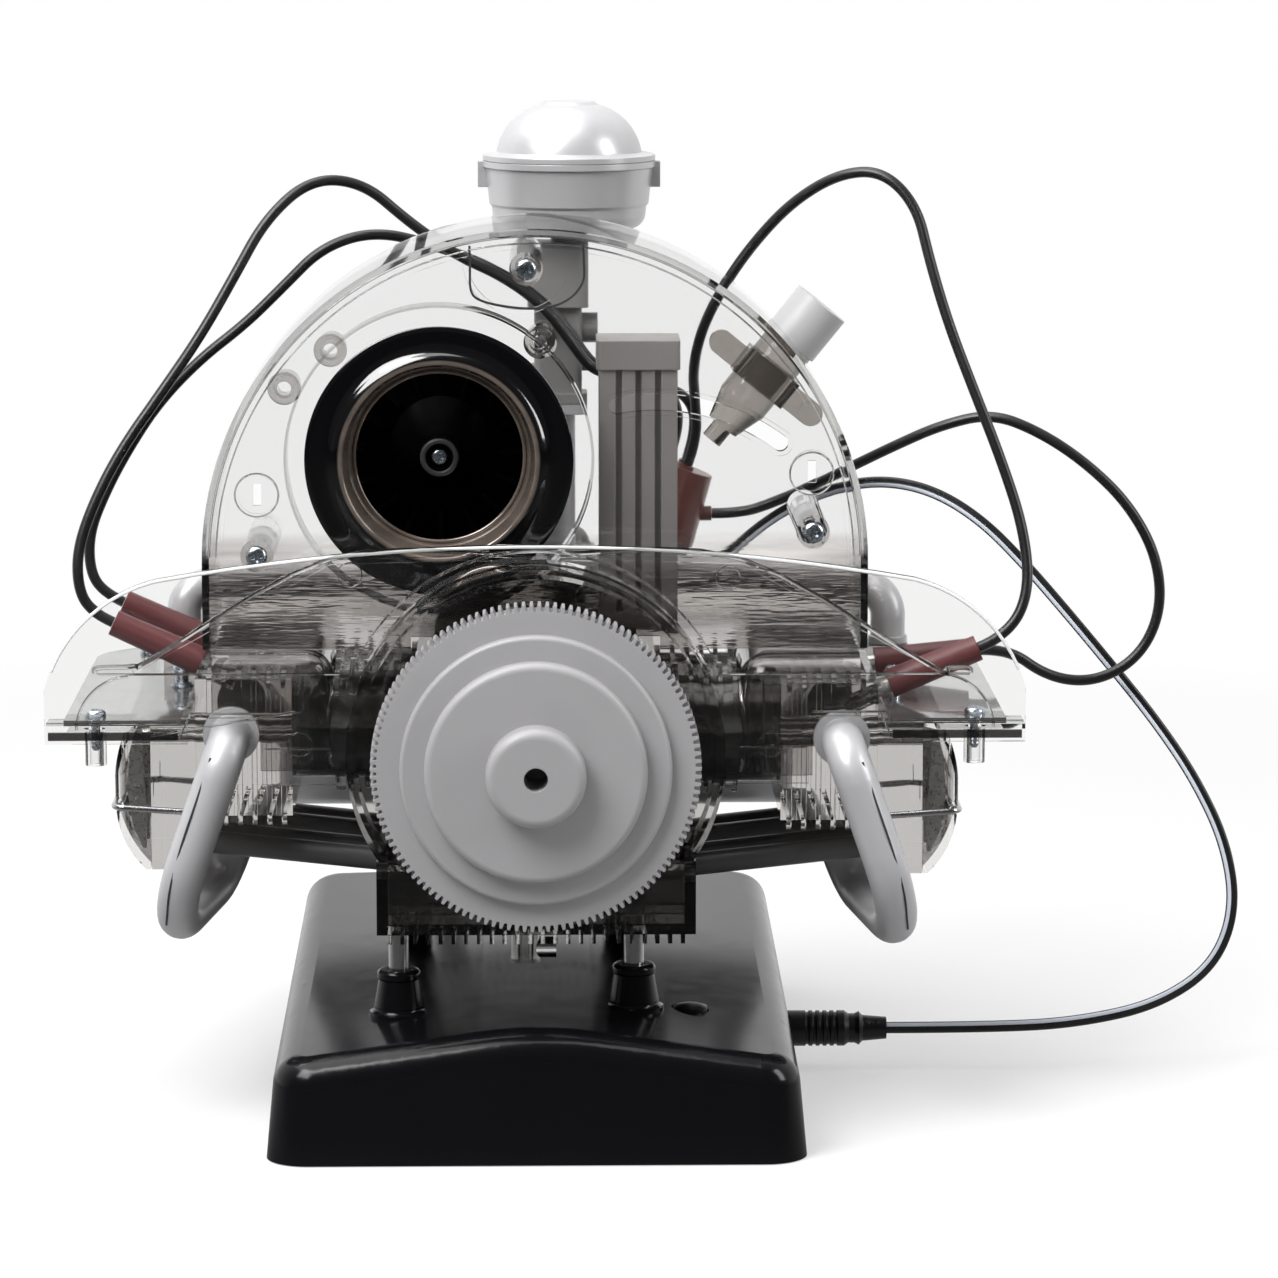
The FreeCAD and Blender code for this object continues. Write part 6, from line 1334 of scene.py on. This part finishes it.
@dataclass
class Shroud(Assembly):
    """The fan shroud with its inlet ring.

    Attributes:
        face: Its front face along the engine.
        middle: The shroud's middle, across and up.
        collar: The radius of the thin wall round the fan.
        bosses: The screw bosses behind the face, across and up.
        vents: The round vents' middles, across and up.
        vent_radius: Their radius.
        rims: The radius and width of each fine line round its rim.
        pocket: The corners of the recess in its top, across and up.
        ring_front: The inlet ring's outer profile, from its flange over its crest into its throat.
        ring_back: Its inner profile, from the throat back to the flange.
        boss: A screw boss's profile.
    """
    face: float = -42.0
    middle: tuple[float, float] = (0.0, 122.3)
    collar: float = 33.2
    bosses: tuple[tuple[float, float], ...] = ((-53.9, 160.0), (-43.9, 168.2), (1.2, 169.8), (-1.8, 185.7),
                                               (-60.1, 123.8), (60.1, 128.7))
    vents: tuple[tuple[float, float], ...] = ((-60.0, 137.0), (59.7, 141.4))
    vent_radius: float = 4.7
    rims: tuple[tuple[float, float], ...] = ((70.4, 0.5), (68.9, 0.35))
    pocket: tuple[tuple[float, float], ...] = (
        (-13.9, 190.6), (-13.8, 186.0), (-13.7, 181.4), (-12.2, 179.2), (-7.6, 177.8), (-1.1, 177.1),
        (4.5, 177.8), (8.3, 179.9), (10.5, 183.2), (10.6, 187.4), (10.4, 191.2))
    ring_front: tuple[tuple[float, float], ...] = (
        (-42.05, 29.0), (-42.25, 28.85), (-42.4, 28.2), (-42.42, 26.8), (-42.45, 25.2), (-42.55, 24.2),
        (-42.85, 23.5), (-43.3, 22.85), (-43.68, 22.2), (-43.88, 21.6), (-43.9, 21.2), (-43.7, 20.85),
        (-43.1, 20.6), (-41.6, 20.25), (-39.4, 19.8), (-37.2, 19.4), (-35.4, 19.0), (-34.6, 18.9))
    ring_back: tuple[tuple[float, float], ...] = (
        (-34.5, 19.6), (-36.5, 20.0), (-39.0, 20.6), (-41.0, 21.9), (-41.6, 23.4), (-41.7, 25.4),
        (-41.75, 27.2), (-41.95, 27.45))
    boss: tuple[tuple[float, float], ...] = ((-40.4, 1.5), (-40.4, 3.6), (-31.0, 3.3), (-31.0, 2.4),
                                             (-38.6, 2.3), (-38.6, 1.5))
    wears = {"shroud_front": SHROUD_CLEAR, "shroud_rear": SHROUD_BACK}

    def inlet(self) -> None:
        """Makes the inlet ring and the bead in its throat."""
        profile = smooth_profile(list(self.ring_front)) + smooth_profile(list(self.ring_back))
        form = Form()
        form.turned(profile, Vector((FAN[0], 0, FAN[1])), BACK, 160, hollow=True)
        piece = add_piece("inlet_ring", form.mesh("inlet_ring", 50.0), RING_BLACK)
        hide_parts("fan_inlet_ring")
        bead = Form()
        octagon = [(0.45 * math.cos(t * 0.785), 0.45 * math.sin(t * 0.785)) for t in range(8)]
        bead.swept(circle_xz(*FAN, 18.5, -34.9, steps=128), octagon, FRONT, loop=True)
        add_piece("throat_bead", bead.mesh("throat_bead", 60.0), RING_BLACK)

    def mould_lines(self) -> None:
        """Draws the fine lines round its rim, the thin wall round the fan, and a dark strip of painted shade
        along the recess in its top.
        """
        form = Form()
        for radius, width in self.rims:
            arc = circle_xz(*self.middle, radius, self.face, 1.0, 179.0, 240)
            form.swept(arc, raised_line(width, 0.3), FRONT)
        for x, z in self.vents:
            vent = circle_xz(x, z, self.vent_radius, self.face, steps=56)
            form.swept(vent, raised_line(0.4, 0.3), FRONT, loop=True)
        inner, outer = self.collar - 0.3, self.collar + 0.3
        form.turned([(-40.45, inner), (-40.45, outer), (-33.0, outer), (-33.0, inner)],
                    Vector((FAN[0], 0, FAN[1])), BACK, 128, hollow=True)
        add_piece("shroud_lines", form.mesh("shroud_lines"), SHADED_LINE_CLEAR)
        # A dark strip of painted shade along the recess's wall.
        edge = Form()
        points = smooth_path([Vector((x, self.face + 1.9, z)) for x, z in self.pocket], 5)
        edge.swept(points, [(-0.25, 0.0), (0.25, 0.0), (0.25, 0.6), (-0.25, 0.6)], FRONT)
        add_piece("pocket_painted_shade", edge.mesh("pocket_painted_shade"), SEAM_AND_SHADE_DARK)

    def screw_bosses(self) -> None:
        """Makes the hollow bosses behind the face."""
        form = Form()
        for x, z in self.bosses:
            form.turned(list(self.boss), Vector((x, 0, z)), BACK, 40, hollow=True)
        add_piece("shroud_bosses", form.mesh("shroud_bosses"), SMOKE)

    def add(self) -> None:
        """Makes the ring, the lines and the bosses."""
        self.inlet()
        self.mould_lines()
        self.screw_bosses()


@dataclass
class Screws(Assembly):
    """The plated screws of the shroud, the tins and the fan.

    Attributes:
        radius: The head's radius.
        height: The head's height.
        thread: The thread's radius.
        pitch: The thread's pitch.
        shroud: The shroud's screws, across and up, with each one's turn in degrees.
        shroud_face: Where their heads start along the engine.
        shroud_shank: How long their shanks are.
        tin_shank: How long the tins' screws' shanks are.
        tins: The tins' screws, with each one's turn in degrees.
        studs: The studs between the side tins and the heads.
        stud: A stud's profile.
        fan: The fan screw's seat.
        dome: The head's profile, as shares of its height and of its radius.
        recess: Half the width and half the length of the recess's arms, as shares of the radius.
        steps: How many faces go round a head.
    """
    radius: float = 2.3
    height: float = 1.4
    thread: float = 1.1
    pitch: float = 0.9
    shroud: tuple[Point, ...] = ((-1.8, 185.7, 20.0), (-60.1, 123.8, 52.0), (60.1, 128.7, 5.0))
    shroud_face: float = -42.8
    shroud_shank: float = 9.0
    tin_shank: float = 7.5
    tins: tuple[tuple[float, float, float, float], ...] = (
        (-94.7, -50.5, 90.4, 12.0), (94.7, -50.5, 90.4, 64.0),
        (-89.0, 34.0, 90.4, 33.0), (89.0, 34.0, 90.4, 80.0))
    studs: tuple[tuple[float, float, float], ...] = ((-78.6, -12.0, 90.45), (79.4, -18.0, 90.45))
    stud: tuple[tuple[float, float], ...] = (
        (0.0, 0.0), (0.0, 2.6), (0.5, 2.6), (0.55, 2.2), (1.0, 2.2), (1.05, 1.5), (3.2, 1.5), (3.25, 2.3),
        (3.8, 2.3), (3.85, 0.0))
    fan: Point = (FAN[0], -34.55, FAN[1])
    dome: tuple[tuple[float, float], ...] = ((0.0, 1.0), (0.35, 1.0), (0.62, 0.95), (0.84, 0.84), (1.0, 0.64))
    recess: tuple[float, float] = (0.13, 0.52)
    steps: int = 28

    def head(self, form: Form, seat: Vector, out: Vector, turn: float, size: float = 1.0) -> None:
        """Makes a rounded head with a cross recess.

        Args:
            form: The form that it goes into.
            seat: The middle of its underside.
            out: The way that it points.
            turn: The recess's turn in degrees.
            size: Its size against the usual one.
        """
        first = out.orthogonal().normalized()
        first.rotate(Quaternion(out, math.radians(turn)))
        second = out.cross(first)
        wide, tall = self.radius * size, self.height * size

        def spot(x: float, y: float, z: float) -> Vector:
            """A point on the head from its own three directions."""
            return seat + first * x + second * y + out * z

        rows = []
        for up, share in self.dome:
            ring = [2 * math.pi * k / self.steps for k in range(self.steps)]
            rows.append(form.row([spot(wide * share * math.cos(t), wide * share * math.sin(t), tall * up)
                                  for t in ring]))
        form.skin(rows)
        form.bm.faces.new(rows[0][::-1])
        a, b = self.recess[0] * wide, self.recess[1] * wide
        cross = ((b, a), (a, a), (a, b), (-a, b), (-a, a), (-b, a),
                 (-b, -a), (-a, -a), (-a, -b), (a, -b), (a, -a), (b, -a))
        rim = form.row([spot(x, y, tall) for x, y in cross])
        floor = form.row([spot(x * 0.72, y * 0.72, tall * 0.4) for x, y in cross])
        form.skin([rim, floor])
        form.bm.faces.new(floor)
        loops = [form.bm.edges.get((row[k - 1], row[k]))
                 for row in (rows[-1], rim) for k in range(len(row))]
        bmesh.ops.triangle_fill(form.bm, use_beauty=True, edges=loops)

    def shank(self, form: Form, seat: Vector, way: Vector, length: float) -> None:
        """Makes a threaded shank.

        Args:
            form: The form that it goes into.
            seat: Where it starts.
            way: The way that it runs.
            length: How long it is.
        """
        profile = [(0.0, 0.0), (0.0, self.thread)]
        for k in range(int(length / self.pitch)):
            profile += [(self.pitch * (k + 0.25), self.thread), (self.pitch * (k + 0.75), self.thread * 0.8)]
        profile += [(length, self.thread * 0.5), (length, 0.0)]
        form.turned(profile, seat, way, 20)

    def add(self) -> None:
        """Makes every screw and stud."""
        form = Form()
        for x, z, turn in self.shroud:
            seat = Vector((x, self.shroud_face, z))
            self.head(form, seat, FRONT, turn)
            self.shank(form, seat, BACK, self.shroud_shank)
        for x, y, z, turn in self.tins:
            seat = Vector((x, y, z))
            self.head(form, seat, UP, turn)
            self.shank(form, seat, -UP, self.tin_shank)
        piece = add_piece("screw_set", form.mesh("screw_set"), ZINC)
        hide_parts("screws")
        studs = Form()
        for seat in (Vector(spot) for spot in self.studs):
            studs.turned(list(self.stud), seat, UP, 28)
            self.head(studs, seat + UP * self.stud[-1][0], UP, 30.0, 0.85)
        add_piece("tin_studs", studs.mesh("tin_studs"), ZINC)
        hub = Form()
        self.head(hub, Vector(self.fan), FRONT, 18.0, 0.84)
        add_piece("fan_hub_screw", hub.mesh("fan_hub_screw"), ZINC, "fan_drive")


@dataclass
class FanDrive(Assembly):
    """The fan, the generator, its stand, the pulleys and the belt.

    Attributes:
        hub_front: Where the fan's hub ends in front.
    """
    hub_front: float = -36.0

    wears = {"fan": FAN_DARK, "generator_body": DARK_GREY, "generator_stand": DARK_GREY,
             "generator_pulley": PULLEY_GREY, "fan_belt": RUBBER}

    def add(self) -> None:
        """Makes the grey collar on the fan's hub."""
        form = Form()
        y = self.hub_front
        form.turned([(y - 0.05, 3.0), (y - 0.75, 3.05), (y - 0.95, 3.25), (y - 0.95, 3.85), (y - 0.75, 4.1),
                     (y - 0.05, 4.2)], Vector((FAN[0], 0, FAN[1])), BACK, 48, hollow=True)
        add_piece("fan_collar", form.mesh("fan_collar"), HUB_GREY, "fan_drive")


@dataclass
class Fittings(Assembly):
    """Oil cooler, carburettor, air cleaner, manifold, distributor, coil and fuel pump."""

    wears = {"oil_cooler": COOLER_GREY, "carburettor": CARB_GREY, "air_cleaner_bowl": CLEANER_SILVER,
             "air_cleaner_lid": CLEANER_SILVER, "intake_manifold": PIPE_SILVER,
             "distributor_body": CARB_GREY, "distributor_cap": CAP_BROWN, "ignition_coil": COIL_SMOKE,
             "fuel_pump": CARB_GREY}


@dataclass
class Exhaust(Assembly):
    """The two front pipes and the muffler.

    Attributes:
        legs: Each front leg's side and its place along the engine.
        guide: Points beside each leg's front: across, ahead of its place, and up.
        seam: The seam's section.
    """
    legs: tuple[tuple[Bank, float], ...] = ((Bank.RIGHT, -64.65), (Bank.LEFT, -57.15))
    guide: tuple[Point, ...] = ((69.5, 4.0, 83.0), (72.6, 5.0, 74.0), (76.0, 5.0, 64.0),
                                (79.4, 5.0, 54.0), (82.4, 4.6, 45.0), (84.0, 1.5, 39.5))
    seam: tuple[tuple[float, float], ...] = ((-0.2, -0.2), (0.2, -0.2), (0.2, 0.2), (-0.2, 0.2))

    wears = {"exhaust_pipes": PIPE_SILVER, "muffler": PIPE_SILVER}

    def add(self) -> None:
        """Draws the mould seam down each front leg."""
        form = Form()
        for bank, y in self.legs:
            side = bank.value
            near = [(side * x, y - ahead, z) for x, ahead, z in self.guide]
            path = smooth_path(on_surface("exhaust_pipes", near), 5)
            form.swept(path, list(self.seam), Vector((side * 0.3, -1, 0)))
        add_piece("pipe_seams", form.mesh("pipe_seams"), SEAM_AND_SHADE_DARK)


def main() -> None:
    """Builds the sub-assemblies in order."""
    logging.basicConfig(level=logging.INFO, format="%(name)s: %(message)s")
    Studio().build()
    for part in (Wiring(), Base(), Crankcase(), CrankTrain(), Banks(), Tins(), Shroud(), FanDrive(),
                 Fittings(), Exhaust(), Screws()):
        part.build()


if __name__ == "__main__":
    main()
